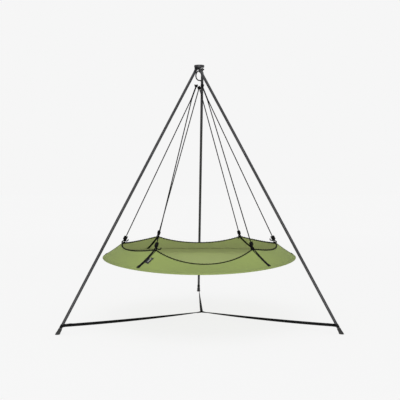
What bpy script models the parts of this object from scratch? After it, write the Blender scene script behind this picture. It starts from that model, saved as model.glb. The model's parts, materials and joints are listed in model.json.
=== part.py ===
"""Pod hammock hanging in a three-legged stand, in metres, +Z up, standing on z = 0.

The stand is three sectional tube legs that hinge on a round head and are tied together near the floor by
webbing. A swivel eye under the head carries an S-hook, and the hook carries the pod: a fabric dish inside a
ring of poles, with an open collar held up at six points by rope.
"""

import math

import bmesh
import bpy
from mathutils import Matrix, Vector

# Stand: where the feet stand and where the legs hinge
head_height = 2.354
foot_circle_radius = 1.385
foot_azimuths = {"left": -150, "right": -30, "back": 90}
pivot_drop = 0.017  # from the underside of the head's plate down to the hinges
pivot_circle_radius = 0.033
pivot_lag = 60  # degrees that each pivot sits behind its own foot, seen from above

# Leg tubes
tube_radius = 0.0125
tube_wall = 0.0015
tube_sections = ("upper", "middle", "lower")
spigot_length = 0.070
tongue_thickness = 0.012
tongue_radius = 0.0115
tongue_length = 0.030
end_collar_length = 0.006
end_plug_length = 0.035

# Hinge bolts
bolt_radius = 0.004
bolt_head_radius = 0.0065
bolt_head_height = 0.0053
nut_height = 0.0065
bolt_end = 0.001  # how far a bolt shows past its nut
ear_thickness = 0.003
ear_radius = 0.0125
ear_tab = 0.004  # how far past the bolt the welded top edge of an ear goes, clear of the cap's wall
ear_gap = 0.0004

# Head
cap_radius = 0.0475
cap_wall = 0.003
cap_depth = 0.019
cap_edge_round = 0.003
plate_thickness = 0.005

# Swivel eye
eye_shank_radius = 0.005
eye_ring_radius = 0.013
eye_rod_radius = 0.0045
eye_collar_radius = 0.009
eye_collar_height = 0.003
eye_neck = 0.010
eye_nut_radius = 0.0085
eye_nut_height = 0.008

# S-hook: two ellipses that meet in the middle
hook_rod_radius = 0.0055
hook_upper_half_width = 0.031
hook_upper_half_height = 0.0435
hook_lower_half_width = 0.031
hook_lower_half_height = 0.0330
hook_upper_tip = -32  # degrees round the upper ellipse from +X
hook_lower_tip = -168  # degrees round the lower ellipse from +X

# Feet
foot_cap_radius = 0.0160
foot_cap_flare = 0.0025
foot_cap_length = 0.051
foot_sole = 0.014  # rubber between the end of the tube and the floor

# Floor straps and the ring that joins them
webbing_width = 0.025
webbing_thickness = 0.0018
strap_leg_height = 0.068
strap_ring_height = 0.048
strap_ring_aside = 0.022  # the ring hangs to the right of the tripod's axis
strap_ring_rod_radius = 0.0025
strap_ring_straight = 0.028
strap_ring_corner = 0.006
strap_tail = 0.045
strap_pinch = 0.035  # from the middle of a leg to where the strap's two layers lie together
strap_sag = 0.008
strap_flat_end = 0.02  # share of a strap's run that lies flat before it twists
strap_twist_power = 0.72
strap_twist_ways = {"left": -1, "right": 1, "back": 1}
strap_stations = 14

# Pod
pod_radius = 0.900
rim_height = 0.578
rim_droop = 0.037  # the rim hangs lower in front and behind than at the sides
pole_radius = 0.0055
pole_sections = ("front_left", "front_right", "back_right", "back_left")
fabric_thickness = 0.0015
sleeve_gap = 0.0006
dish_sag = 0.115
hem_inset = 0.188  # from the rim in to the hem points
hem_bow = 0.016  # how far the hem bows outwards between two hem points
hem_rise = 0.129  # from the rim up to the hem points
hem_azimuths = {
    "right": 0,
    "back_right": 54,
    "back_left": 126,
    "left": 180,
    "front_left": 238,
    "front_right": 310,
}
# how far the hem sags between its two front points, between its two back points, and at the sides
hem_sag_front = 0.108
hem_sag_back = 0.080
hem_sag_side = 0.030
hem_rope_radius = 0.0045
pod_strap_width = 0.028
pod_strap_thickness = 0.0014
pod_strap_gap = 0.0005
pod_strap_outer_end = 0.012  # how far above the sleeve the strap ends outside, and then inside
pod_strap_inner_end = 0.010
pod_strap_bend = 0.012  # from the hem down to where the strap lies flat on the fabric
# degrees that a strap leans round the pod from the hem down to the rim
pod_strap_leans = {"front_left": -4.4, "front_right": 2.2, "back_right": -4, "back_left": 1}
pod_strap_steps = 3  # stretches in each layer of a leaning strap
pod_strap_room = 0.0015  # level hem left each side of a strap

# Suspension
rope_radius = 0.00475
knot_height = 0.045  # from the hem to the middle of a knot, along the rope
knot_half_length = 0.025
knot_radius = 0.0160
knot_depth = 0.0145
knot_stem_radius = 0.0060
knot_tail_length = 0.040
knot_tail_radius = 0.0045
knot_tail_line = ((0, 0), (0.45, -0.22), (0.75, -0.05), (0.85, 0.22))  # (aside, up) as shares of the tail
knot_tail_seat = 0.008  # how far below the knot's middle the tail leaves it
hitch_outer_radius = 0.0145
hitch_width = 0.017
hitch_bore_radius = 0.0076
hitch_spread = 61  # degrees round the hook's lower bend from its lowest point
leader_drop = 0.120
leader_radius = 0.0095
leader_sink = 0.0006
leader_rope_spacing = 0.0106
fall_slope = 0.5  # how far a leaning fall's cut end rises past its middle, as a share of its radius

# Clearances
touch_gap = 0.0003
slide_gap = 0.0004
pole_end_gap = 0.0008
bolt_gap = 0.0003

# Smoothness of the round shapes
round_steps = 16
fine_steps = 24
arc_steps = 8
hole_steps = 16
hook_steps = 36
rim_step = 9

# Worked out from the values above
plate_bottom = head_height - cap_depth
pivot_height = plate_bottom - pivot_drop
hem_radius = pod_radius - hem_inset
hem_height = rim_height + hem_rise
knot_ledge = math.degrees((pod_strap_width / 2 + pod_strap_room) / hem_radius)
axis_run = math.sqrt(
    foot_circle_radius**2
    + pivot_circle_radius**2
    - 2 * foot_circle_radius * pivot_circle_radius * math.cos(math.radians(pivot_lag))
)
lean = math.atan2(axis_run, pivot_height)
leg_length = math.hypot(axis_run, pivot_height)
plate_radius = cap_radius - cap_wall - slide_gap
tube_bore_radius = tube_radius - tube_wall
spigot_radius = tube_bore_radius - slide_gap
tube_start = tongue_length + end_collar_length + touch_gap
tube_end = leg_length - foot_sole / math.cos(lean)
section_length = (tube_end - tube_start) / len(tube_sections)
eye_height = plate_bottom - touch_gap - eye_collar_height - eye_neck - eye_ring_radius - eye_rod_radius
hook_top_height = eye_height - eye_ring_radius + eye_rod_radius + touch_gap + hook_rod_radius
hook_bottom_height = hook_top_height - 2 * hook_upper_half_height - 2 * hook_lower_half_height
sleeve_radius = (pole_radius + sleeve_gap) / math.cos(math.radians(22.5)) + fabric_thickness / 2
pole_circle_radius = pod_radius - sleeve_radius - fabric_thickness / 2


def polar(radius, azimuth, height=0.0):
    """The point at a radius and an azimuth in degrees round the tripod's axis."""
    turn = math.radians(azimuth)
    return Vector((radius * math.cos(turn), radius * math.sin(turn), height))


def reach(azimuth):
    """How far the feet's flat soles and the pod's rim reach along an azimuth from the tripod's axis."""
    sole_out = (foot_cap_radius + foot_cap_flare) / math.cos(lean)
    sole_aside = foot_cap_radius + foot_cap_flare
    reaches = [pod_radius]
    for side, foot_azimuth in foot_azimuths.items():
        centre = foot_circle_radius * math.cos(math.radians(azimuth - foot_azimuth))
        turn = math.radians(azimuth - leg_azimuth(side))
        reaches.append(centre + math.hypot(sole_out * math.cos(turn), sole_aside * math.sin(turn)))
    return max(reaches)


def leg_azimuth(side):
    """The azimuth of a leg's vertical plane, from its pivot towards its foot."""
    run = polar(foot_circle_radius, foot_azimuths[side]) - pivot_point(side)
    return math.degrees(math.atan2(run.y, run.x))


def pivot_point(side, height=0.0):
    """Where a leg hinges on the head."""
    return polar(pivot_circle_radius, foot_azimuths[side] - pivot_lag, height)


def clear_scene():
    for old in list(bpy.data.objects):
        bpy.data.objects.remove(old, do_unlink=True)


def new_collection(name):
    made = bpy.data.collections.new(name)
    bpy.context.scene.collection.children.link(made)
    return made


def new_material(name, colour, roughness, metallic=0.0):
    made = bpy.data.materials.new(name)
    made.use_nodes = True
    shader = made.node_tree.nodes["Principled BSDF"]
    shader.inputs["Base Color"].default_value = (*colour, 1)
    shader.inputs["Roughness"].default_value = roughness
    shader.inputs["Metallic"].default_value = metallic
    return made


clear_scene()
model = new_collection("pod_hammock_with_stand")
construction = new_collection("construction")
powder_coat = new_material("powder_coated_steel", (0.035, 0.035, 0.037), 0.45)
black_steel = new_material("black_steel", (0.02, 0.02, 0.02), 0.35, 1.0)
black_rubber = new_material("black_rubber", (0.012, 0.012, 0.012), 0.8)
cap_plastic = new_material("moulded_cap", (0.03, 0.03, 0.032), 0.5)
black_rope = new_material("braided_rope", (0.008, 0.008, 0.008), 0.9)
black_webbing = new_material("webbing", (0.01, 0.01, 0.01), 0.85)
green_canvas = new_material("sage_canvas", (0.27, 0.34, 0.12), 0.9)
pole_fibre = new_material("pole_fibreglass", (0.03, 0.03, 0.03), 0.4)


def empty(name, location=(0, 0, 0), rotation=(0, 0, 0), parent=None):
    """A guide that carries a group of pieces on its joint's axis."""
    made = bpy.data.objects.new(name, None)
    made.empty_display_size = 0.1
    made.location = location
    made.rotation_euler = rotation
    made.parent = parent
    construction.objects.link(made)
    return made


def place(made, material, parent, location=(0, 0, 0), rotation=(0, 0, 0)):
    """Puts a finished object in the model under its guide."""
    made.data.materials.clear()
    made.data.materials.append(material)
    made.parent = parent
    made.location = location
    made.rotation_euler = rotation
    return made


def stay_in_place(made):
    """Cancels a guide's own place, for a piece whose points are already measured from the tripod's axis."""
    made.matrix_parent_inverse = Matrix.Translation(-made.parent.location)
    return made


def object_from(name, mesh, smooth=True):
    made = bpy.data.objects.new(name, mesh)
    model.objects.link(made)
    if smooth and isinstance(mesh, bpy.types.Mesh):
        mesh.shade_smooth()
        mesh.set_sharp_from_angle(angle=math.radians(35))
    return made


def mesh_from(name, points, edges=(), faces=()):
    made = bpy.data.meshes.new(name)
    made.from_pydata([tuple(p) for p in points], list(edges), list(faces))
    return made


def turned(name, profile, steps=round_steps):
    """A closed profile of (radius, z) points, listed down its outer side, turned about Z."""
    count = len(profile)
    edges = [(i, (i + 1) % count) for i in range(count)]
    made = object_from(name, mesh_from(name, [(r, 0, z) for r, z in profile], edges), smooth=False)
    screw = made.modifiers.new("turn", "SCREW")
    screw.axis = "Z"
    screw.angle = math.tau
    screw.steps = steps
    screw.render_steps = steps
    screw.use_merge_vertices = True
    screw.merge_threshold = 0.00001
    screw.use_smooth_shade = True
    return made


def rod(name, points, radius, cyclic=False, resolution=1):
    """A round rod, wire or rope along a line of points."""
    curve = bpy.data.curves.new(name, "CURVE")
    curve.dimensions = "3D"
    curve.bevel_depth = radius
    curve.bevel_resolution = resolution
    curve.use_fill_caps = not cyclic
    line = curve.splines.new("POLY")
    line.points.add(len(points) - 1)
    for i, point in enumerate(points):
        line.points[i].co = (*point, 1)
    line.use_cyclic_u = cyclic
    return object_from(name, curve)


def flat_plate(name, outline, holes, thickness):
    """A flat outline with holes, cut from plate and centred on its own XY plane."""
    curve = bpy.data.curves.new(name, "CURVE")
    curve.dimensions = "2D"
    curve.fill_mode = "BOTH"
    curve.extrude = thickness / 2
    for contour in [outline, *holes]:
        line = curve.splines.new("POLY")
        line.points.add(len(contour) - 1)
        for i, (x, y) in enumerate(contour):
            line.points[i].co = (x, y, 0, 1)
        line.use_cyclic_u = True
    return as_mesh(object_from(name, curve))


def as_mesh(made):
    """Turns a curve or a modified object into a plain welded mesh, in the same place."""
    bpy.context.view_layer.update()
    evaluated = made.evaluated_get(bpy.context.evaluated_depsgraph_get())
    mesh = bpy.data.meshes.new_from_object(evaluated)
    welded = bmesh.new()
    welded.from_mesh(mesh)
    bmesh.ops.remove_doubles(welded, verts=welded.verts, dist=0.00001)
    bmesh.ops.recalc_face_normals(welded, faces=welded.faces)
    welded.to_mesh(mesh)
    welded.free()
    name = made.name
    matrix = made.matrix_world.copy()
    bpy.data.objects.remove(made, do_unlink=True)
    fresh = object_from(name, mesh)
    fresh.matrix_world = matrix
    return fresh


def moved(made, matrix):
    """Carries a plain mesh's points through a matrix."""
    made.data.transform(matrix)
    return made


def make_tool(made):
    """Hides an object that only cuts or joins another."""
    for holder in list(made.users_collection):
        holder.objects.unlink(made)
    construction.objects.link(made)
    made.hide_render = True
    made.display_type = "WIRE"
    return made


def combine(made, operation, *tools):
    """Joins tools to an object, or cuts it with them, and leaves the result as its mesh."""
    for tool in tools:
        make_tool(tool)
        boolean = made.modifiers.new(operation.lower(), "BOOLEAN")
        boolean.operation = operation
        boolean.solver = "EXACT"
        boolean.object = tool
    return made


def circle_points(radius, steps=round_steps, x=0.0, y=0.0):
    return [
        (x + radius * math.cos(math.tau * i / steps), y + radius * math.sin(math.tau * i / steps))
        for i in range(steps)
    ]


def half_circle(radius, start):
    """Half a circle of points from an angle in radians."""
    turns = [start + math.pi * i / arc_steps for i in range(arc_steps + 1)]
    return [(radius * math.cos(turn), radius * math.sin(turn)) for turn in turns]


def hexagon(radius):
    return circle_points(radius, 6)


def smooth_line(points, per_span=6):
    """A Catmull-Rom curve through a short list of points."""
    found = []
    for i in range(len(points) - 1):
        a, b, c, d = (Vector(points[max(0, min(len(points) - 1, i + k))]) for k in (-1, 0, 1, 2))
        for n in range(per_span):
            t = n / per_span
            found.append(
                0.5 * (2 * b + (c - a) * t + (2 * a - 5 * b + 4 * c - d) * t**2 + (3 * b - a - 3 * c + d) * t**3)
            )
    found.append(Vector(points[-1]))
    return found


def lofted_strip(name, left, right, thickness):
    """A strip of webbing or fabric between two edge lines, thickened about its middle."""
    count = len(left)
    faces = [(i, i + 1, count + i + 1, count + i) for i in range(count - 1)]
    made = object_from(name, mesh_from(name, [*left, *right], faces=faces))
    thicken(made, thickness)
    return made


def thicken(made, thickness):
    solid = made.modifiers.new("thickness", "SOLIDIFY")
    solid.thickness = thickness
    solid.offset = 0
    return made


# Guides: the tripod's axis, then one on each joint's axis
axis_y = (reach(-90) - reach(90)) / 2
tripod_axis = empty("tripod_axis", (0, axis_y, 0))
eye_guide = empty("eye_guide", (0, 0, eye_height), parent=tripod_axis)
hook_swing_height = eye_height - eye_ring_radius
hook_guide = empty("hook_guide", (0, 0, hook_swing_height), parent=tripod_axis)
pod_guide = empty("pod_guide", (0, 0, hook_bottom_height), parent=tripod_axis)
leg_guides = {}
bracket_guides = {}
for leg_side in foot_azimuths:
    leg_turn = math.radians(leg_azimuth(leg_side))
    hinge = pivot_point(leg_side, pivot_height)
    leg_guides[leg_side] = empty(f"leg_guide_{leg_side}", hinge, (0, -lean, leg_turn), tripod_axis)
    bracket_guides[leg_side] = empty(f"bracket_guide_{leg_side}", hinge, (0, 0, leg_turn), tripod_axis)


# Head: a moulded cap over a steel plate with three welded pairs of ears
ear_middle = tongue_thickness / 2 + ear_gap + ear_thickness / 2
ear_outside = ear_middle + ear_thickness / 2


def ear(side, sign):
    """One ear of a leg's bracket, in its vertical plane, measured from the tripod's axis."""
    top = plate_bottom + plate_thickness / 2 - pivot_height
    shoulder = plate_bottom - touch_gap - pivot_height
    arc = half_circle(ear_radius, math.pi)
    outline = [(-ear_radius, top), *arc, (ear_radius, shoulder), (ear_tab, shoulder), (ear_tab, top)]
    hole = circle_points(bolt_radius + bolt_gap, hole_steps)
    made = flat_plate(f"ear_{side}_{sign}", outline, [hole], ear_thickness)
    upright = Matrix.Rotation(math.pi / 2, 4, "X")
    aside = Matrix.Translation((0, sign * ear_middle, 0))
    turn = Matrix.Rotation(math.radians(leg_azimuth(side)), 4, "Z")
    seat = Matrix.Translation(pivot_point(side, pivot_height))
    return moved(made, seat @ turn @ aside @ upright)


def head_plate():
    hole = eye_shank_radius + slide_gap
    top = plate_bottom + plate_thickness
    profile = [(plate_radius, top), (plate_radius, plate_bottom), (hole, plate_bottom), (hole, top)]
    made = as_mesh(turned("head_plate", profile, fine_steps))
    ears = [ear(side, sign) for side in foot_azimuths for sign in (-1, 1)]
    for tool in ears:
        tool.parent = tripod_axis
    place(made, powder_coat, tripod_axis)
    return combine(made, "UNION", *ears)


def head_cap():
    top = head_height
    bottom = plate_bottom
    inner = cap_radius - cap_wall
    round_off = cap_edge_round
    profile = [
        (0, top),
        (cap_radius - round_off, top),
        (cap_radius - round_off * 0.3, top - round_off * 0.3),
        (cap_radius, top - round_off),
        (cap_radius, bottom),
        (inner, bottom),
        (inner, top - cap_wall),
        (0, top - cap_wall),
    ]
    outline = mesh_from("head_cap", [(r, 0, z) for r, z in profile], open_chain(profile))
    made = object_from("head_cap", outline, False)
    screw_about_axis(made, fine_steps)
    return place(made, cap_plastic, tripod_axis)


def open_chain(profile):
    return [(i, i + 1) for i in range(len(profile) - 1)]


def screw_about_axis(made, steps):
    """Turns an open profile whose two ends lie on the Z axis."""
    screw = made.modifiers.new("turn", "SCREW")
    screw.axis = "Z"
    screw.angle = math.tau
    screw.steps = steps
    screw.render_steps = steps
    screw.use_merge_vertices = True
    screw.merge_threshold = 0.00001
    screw.use_smooth_shade = True
    return made


def hinge_bolt(side):
    """A hexagon-headed bolt through both ears and the leg's tongue, along the guide's own Y."""
    start = ear_outside + touch_gap
    end = start + nut_height + bolt_end
    shank = as_mesh(rod_along_y(f"pivot_bolt_{side}", bolt_radius, -end, start + bolt_end))
    head = flat_plate(f"bolt_head_{side}", hexagon(bolt_head_radius), [], bolt_head_height)
    moved(head, Matrix.Translation((0, start + bolt_head_height / 2, 0)) @ Matrix.Rotation(math.pi / 2, 4, "X"))
    head.parent = bracket_guides[side]
    place(shank, black_steel, bracket_guides[side])
    return combine(shank, "UNION", head)


def rod_along_y(name, radius, low, high):
    """A round bar along Y as a cone primitive with equal ends."""
    shape = bmesh.new()
    ends = {"radius1": radius, "radius2": radius, "cap_ends": True}
    bmesh.ops.create_cone(shape, segments=hole_steps, depth=high - low, **ends)
    turn = Matrix.Translation((0, (low + high) / 2, 0)) @ Matrix.Rotation(math.pi / 2, 4, "X")
    bmesh.ops.transform(shape, matrix=turn, verts=shape.verts)
    mesh = bpy.data.meshes.new(name)
    shape.to_mesh(mesh)
    shape.free()
    return object_from(name, mesh)


def hinge_nut(side):
    made = flat_plate(
        f"pivot_nut_{side}",
        hexagon(bolt_head_radius),
        [circle_points(bolt_radius + bolt_gap, hole_steps)],
        nut_height,
    )
    middle = ear_outside + touch_gap + nut_height / 2
    moved(made, Matrix.Translation((0, -middle, 0)) @ Matrix.Rotation(math.pi / 2, 4, "X"))
    return place(made, black_steel, bracket_guides[side])


head_plate()
head_cap()
for leg_side in foot_azimuths:
    hinge_bolt(leg_side)
    hinge_nut(leg_side)


# Swivel eye: an eye bolt that turns in the plate, held by a nut under the cap
def eye_bolt():
    ring = as_mesh(
        rod(
            "eye_bolt",
            [(0, eye_ring_radius * math.cos(a), eye_ring_radius * math.sin(a)) for a in steps_round(fine_steps)],
            eye_rod_radius,
            cyclic=True,
            resolution=2,
        )
    )
    shank_top = plate_bottom + plate_thickness + touch_gap + eye_nut_height + 0.0005 - eye_height
    collar_top = plate_bottom - touch_gap - eye_height
    collar_bottom = collar_top - eye_collar_height
    sunk = eye_ring_radius
    profile = [
        (0, shank_top),
        (eye_shank_radius, shank_top),
        (eye_shank_radius, collar_top),
        (eye_collar_radius, collar_top),
        (eye_collar_radius, collar_bottom),
        (eye_shank_radius, collar_bottom),
        (eye_rod_radius * 0.8, sunk),
        (0, sunk),
    ]
    outline = mesh_from("eye_shank", [(r, 0, z) for r, z in profile], open_chain(profile))
    shank = object_from("eye_shank", outline, False)
    shank = as_mesh(screw_about_axis(shank, round_steps))
    shank.parent = eye_guide
    place(ring, black_steel, eye_guide)
    return combine(ring, "UNION", shank)


def steps_round(count):
    return [math.tau * i / count for i in range(count)]


def eye_nut():
    made = flat_plate(
        "eye_nut",
        hexagon(eye_nut_radius),
        [circle_points(eye_shank_radius + bolt_gap, hole_steps)],
        eye_nut_height,
    )
    middle = plate_bottom + plate_thickness + touch_gap + eye_nut_height / 2 - eye_height
    moved(made, Matrix.Translation((0, 0, middle)))
    return place(made, black_steel, eye_guide)


eye_bolt()
eye_nut()


# S-hook
def ellipse_point(width, height, middle, degrees):
    turn = math.radians(degrees)
    return Vector((width * math.cos(turn), 0, middle + height * math.sin(turn)))


upper_bend_middle = hook_top_height - hook_upper_half_height
lower_bend_middle = hook_bottom_height + hook_lower_half_height


def hook_line():
    """Round the upper bend from its tip, over the top and down the left, then round the lower bend."""
    half = hook_steps // 2
    upper = [
        ellipse_point(
            hook_upper_half_width, hook_upper_half_height, upper_bend_middle,
            hook_upper_tip + (270 - hook_upper_tip) * i / half,
        )
        for i in range(half)
    ]
    lower = [
        ellipse_point(
            hook_lower_half_width,
            hook_lower_half_height,
            lower_bend_middle,
            90 + (hook_lower_tip - 90) * i / half,
        )
        for i in range(half + 1)
    ]
    return upper + lower


def s_hook():
    points = [p - Vector((0, 0, hook_swing_height)) for p in hook_line()]
    made = rod("s_hook", points, hook_rod_radius, resolution=2)
    return place(made, black_steel, hook_guide)


s_hook()


# Legs
def leg_end(side):
    """The solid end that hinges between a bracket's ears and plugs into the top tube."""
    arc = half_circle(tongue_radius, 0)
    foot_of_tongue = -tongue_length - end_collar_length / 2
    outline = [*arc, (-tongue_radius, foot_of_tongue), (tongue_radius, foot_of_tongue)]
    hole = circle_points(bolt_radius + bolt_gap, hole_steps)
    tongue = flat_plate(f"leg_end_{side}", outline, [hole], tongue_thickness)
    moved(tongue, Matrix.Rotation(math.pi / 2, 4, "X"))
    plug_bottom = -tongue_length - end_collar_length - end_plug_length
    profile = [
        (0, -tongue_length),
        (tube_radius, -tongue_length),
        (tube_radius, -tongue_length - end_collar_length),
        (spigot_radius, -tongue_length - end_collar_length),
        (spigot_radius, plug_bottom),
        (0, plug_bottom),
    ]
    plug_outline = mesh_from("end_plug", [(r, 0, z) for r, z in profile], open_chain(profile))
    plug = object_from(f"end_plug_{side}", plug_outline, False)
    plug = as_mesh(screw_about_axis(plug, round_steps))
    plug.parent = leg_guides[side]
    place(tongue, powder_coat, leg_guides[side])
    return combine(tongue, "UNION", plug)


def leg_tube(side, number, section):
    """A tube open at both ends; all but the lowest end in a narrower spigot that enters the next one."""
    top = -(tube_start + number * section_length)
    last = section == tube_sections[-1]
    bottom = -(tube_start + (number + 1) * section_length) + (0 if last else touch_gap)
    profile = [(tube_radius, top), (tube_radius, bottom)]
    if last:
        profile += [(tube_bore_radius, bottom)]
    else:
        profile += [
            (spigot_radius, bottom - touch_gap),
            (spigot_radius, bottom - spigot_length),
            (spigot_radius - tube_wall, bottom - spigot_length),
            (spigot_radius - tube_wall, bottom + tube_wall),
            (tube_bore_radius, bottom + 2 * tube_wall),
        ]
    profile += [(tube_bore_radius, top)]
    made = turned(f"leg_{side}_{section}", profile)
    return place(made, powder_coat, leg_guides[side])


def foot_cap(side):
    """A rubber cap on the end of a leg, cut flat on the floor."""
    top = -(leg_length - foot_cap_length)
    bore = tube_radius + slide_gap
    bore_bottom = -(tube_end + touch_gap)
    flare_start = top - foot_cap_length / 2
    below = -(leg_length + 2 * foot_cap_radius)
    base = foot_cap_radius + foot_cap_flare
    profile = [
        (foot_cap_radius - 0.001, top),
        (foot_cap_radius, top - 0.002),
        (foot_cap_radius, flare_start),
        (base, flare_start - foot_cap_length / 3),
        (base, below),
        (0, below),
        (0, bore_bottom),
        (bore, bore_bottom),
        (bore, top),
    ]
    outline = mesh_from("foot", [(r, 0, z) for r, z in profile], profile_with_axis(profile))
    made = object_from(f"foot_{side}", outline, False)
    made = as_mesh(screw_about_axis(made, round_steps))
    floor_normal = Matrix.Rotation(lean, 3, "Y") @ Vector((0, 0, -1))
    floor_point = Vector((0, 0, -leg_length))
    shape = bmesh.new()
    shape.from_mesh(made.data)
    everything = [*shape.verts, *shape.edges, *shape.faces]
    cut = bmesh.ops.bisect_plane(
        shape, geom=everything, plane_co=floor_point, plane_no=floor_normal, clear_outer=True
    )
    rim = [e for e in cut["geom_cut"] if isinstance(e, bmesh.types.BMEdge)]
    bmesh.ops.contextual_create(shape, geom=rim)
    bmesh.ops.recalc_face_normals(shape, faces=shape.faces)
    shape.to_mesh(made.data)
    shape.free()
    return place(made, black_rubber, leg_guides[side])


def profile_with_axis(profile):
    """Edges of a closed profile that has one stretch along the axis, which is left open."""
    count = len(profile)
    edges = [(i, (i + 1) % count) for i in range(count)]
    return [(a, b) for a, b in edges if profile[a][0] > 0 or profile[b][0] > 0]


for leg_side in foot_azimuths:
    leg_end(leg_side)
    for section_number, section_name in enumerate(tube_sections):
        leg_tube(leg_side, section_number, section_name)
    foot_cap(leg_side)


# Floor straps: a triangular ring, and webbing from each of its sides to a leg
ring_side_distance = strap_ring_straight / 2 / math.tan(math.radians(60)) + strap_ring_corner


def strap_ring():
    """A rounded triangle of wire with one straight side facing each leg."""
    points = []
    for side in foot_azimuths:
        outward = leg_azimuth(side)
        corner_middle = strap_ring_straight / 2 / math.sin(math.radians(60))
        for i in range(7):
            corner_turn = outward + 60 + (i - 3) * 20
            points.append(polar(corner_middle, outward + 60) + polar(strap_ring_corner, corner_turn))
    made = rod("strap_ring", points, strap_ring_rod_radius, cyclic=True)
    return place(made, black_steel, tripod_axis, (strap_ring_aside, 0, strap_ring_height))


def floor_strap(side):
    """Webbing that is flat at the ring, twists on its way and wraps round its leg on edge."""
    turn = Matrix.Rotation(math.radians(leg_azimuth(side)), 4, "Z")
    leg_direction = Vector((math.sin(lean), 0, -math.cos(lean)))
    leg_aside = (turn.inverted() @ pivot_point(side)).y
    strap_along = (turn.inverted() @ pivot_point(side)).x + math.tan(lean) * (pivot_height - strap_leg_height)
    loop_aside = tube_radius + slide_gap + webbing_thickness / 2
    loop_along = (tube_radius + slide_gap) / math.cos(lean) + webbing_thickness / 2
    fold = strap_ring_rod_radius + slide_gap + webbing_thickness / 2
    flat_side = Vector((0, webbing_width / 2 * strap_twist_ways[side], 0))
    on_edge = leg_direction * (-webbing_width / 2 / math.cos(lean))
    middles = []
    across = []
    aside = turn.inverted() @ Vector((strap_ring_aside, 0, 0))
    ring_middle = Vector((ring_side_distance, 0, strap_ring_height)) + aside
    middles.append(ring_middle + Vector((strap_tail, 0, -webbing_thickness - touch_gap)))
    middles.append(ring_middle + Vector((strap_tail * 0.5, 0, -webbing_thickness - touch_gap)))
    across += [flat_side, flat_side]
    for degrees in range(-60, -301, -30):
        bend = math.radians(degrees)
        middles.append(ring_middle + Vector((fold * math.cos(bend), 0, fold * math.sin(bend))))
        across.append(flat_side)
    run_start = ring_middle + Vector((strap_tail * 0.5, 0, 0.0))
    run_end = Vector((strap_along - strap_pinch, leg_aside, strap_leg_height))
    for share in [0, strap_flat_end, *(i / strap_stations for i in range(1, strap_stations + 1))]:
        twist = max(0, (share - strap_flat_end) / (1 - strap_flat_end)) ** strap_twist_power
        sag = Vector((0, 0, strap_sag * 4 * share * (1 - share)))
        middles.append(run_start.lerp(run_end, share) - sag)
        side_on = flat_side.normalized() * math.cos(twist * math.pi / 2)
        edge_on = on_edge.normalized() * math.sin(twist * math.pi / 2)
        half_width = webbing_width / 2 * (1 + (1 / math.cos(lean) - 1) * twist)
        across.append((side_on + edge_on).normalized() * half_width)
    leg_middle = Vector((strap_along, leg_aside, strap_leg_height))
    for degrees in range(150, -151, -25):
        bend = math.radians(degrees)
        middles.append(leg_middle + Vector((loop_along * math.cos(bend), loop_aside * math.sin(bend), 0)))
        across.append(on_edge)
    tail_aside = webbing_thickness + 2 * touch_gap
    middles.append(Vector((strap_along - strap_pinch * 0.75, leg_aside - tail_aside, strap_leg_height)))
    middles.append(Vector((strap_along - strap_pinch - strap_tail, leg_aside - tail_aside, strap_leg_height)))
    across += [on_edge, on_edge]
    left = [turn @ (m + a) for m, a in zip(middles, across)]
    right = [turn @ (m - a) for m, a in zip(middles, across)]
    made = lofted_strip(f"floor_strap_{side}", left, right, webbing_thickness)
    return place(made, black_webbing, tripod_axis)


strap_ring()
for leg_side in foot_azimuths:
    floor_strap(leg_side)


# Pod: the hem's line, the section from hem to rim, and the round of azimuths that both follow
def rim_azimuths():
    """Every rim_step degrees, with two more beside each hem point and each place where a leaning strap ends."""
    spots = list(hem_azimuths.values())
    spots += [hem_azimuths[name] + lean for name, lean in pod_strap_leans.items() if abs(lean) > 2 * knot_ledge]
    found = {(spot + ledge) % 360 for spot in spots for ledge in (-knot_ledge, 0, knot_ledge)}
    for azimuth in range(0, 360, rim_step):
        away = min(abs((azimuth - spot + 180) % 360 - 180) for spot in spots)
        if away > rim_step / 3:
            found.add(azimuth)
    return sorted(found)


def hem_point(azimuth):
    """(radius, height) of the hem at an azimuth: level at each hem point, sagging in an arc between two."""
    knots = sorted(hem_azimuths.values())
    for i, low in enumerate(knots):
        high = knots[(i + 1) % len(knots)] + (360 if i + 1 == len(knots) else 0)
        if low <= azimuth < high or low <= azimuth + 360 < high:
            break
    if azimuth < low:
        azimuth += 360
    middle = (low + high) / 2
    half = (high - low) / 2 - knot_ledge
    away = min(1.0, abs(azimuth - middle) / half)
    share = 1 - away**2
    sags = {hem_azimuths["front_left"]: hem_sag_front, hem_azimuths["back_right"]: hem_sag_back}
    return hem_radius + hem_bow * share, hem_height - sags.get(low, hem_sag_side) * share


def hem_corner(azimuth):
    radius, height = hem_point(azimuth)
    return polar(radius, azimuth, height)


def rim_fall(azimuth):
    """How far the rim has dropped at an azimuth: nothing at the sides, most in front and behind."""
    return rim_droop * math.sin(math.radians(azimuth)) ** 2


def section_axes(azimuth):
    """At an azimuth: the hem, the unit vector down the collar, the outward normal and the length."""
    radius, height = hem_point(azimuth)
    hem = Vector((radius, height))
    top_of_sleeve = Vector((pole_circle_radius, rim_height - rim_fall(azimuth) + sleeve_radius))
    run = top_of_sleeve - hem
    down = run.normalized()
    return hem, down, Vector((-down.y, down.x)), run.length


def collar_section(azimuth):
    """Down the collar from under the hem rope, then round the outside of the pole to its inner underside."""
    hem, down, _, length = section_axes(azimuth)
    start = hem_rope_radius + touch_gap
    points = [hem + down * (start + (length - start) * share) for share in (0, 0.5)]
    pole = Vector((pole_circle_radius, rim_height - rim_fall(azimuth)))
    for degrees in range(90, -136, -45):
        bend = math.radians(degrees)
        points.append(pole + sleeve_radius * Vector((math.cos(bend), math.sin(bend))))
    return points


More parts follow.
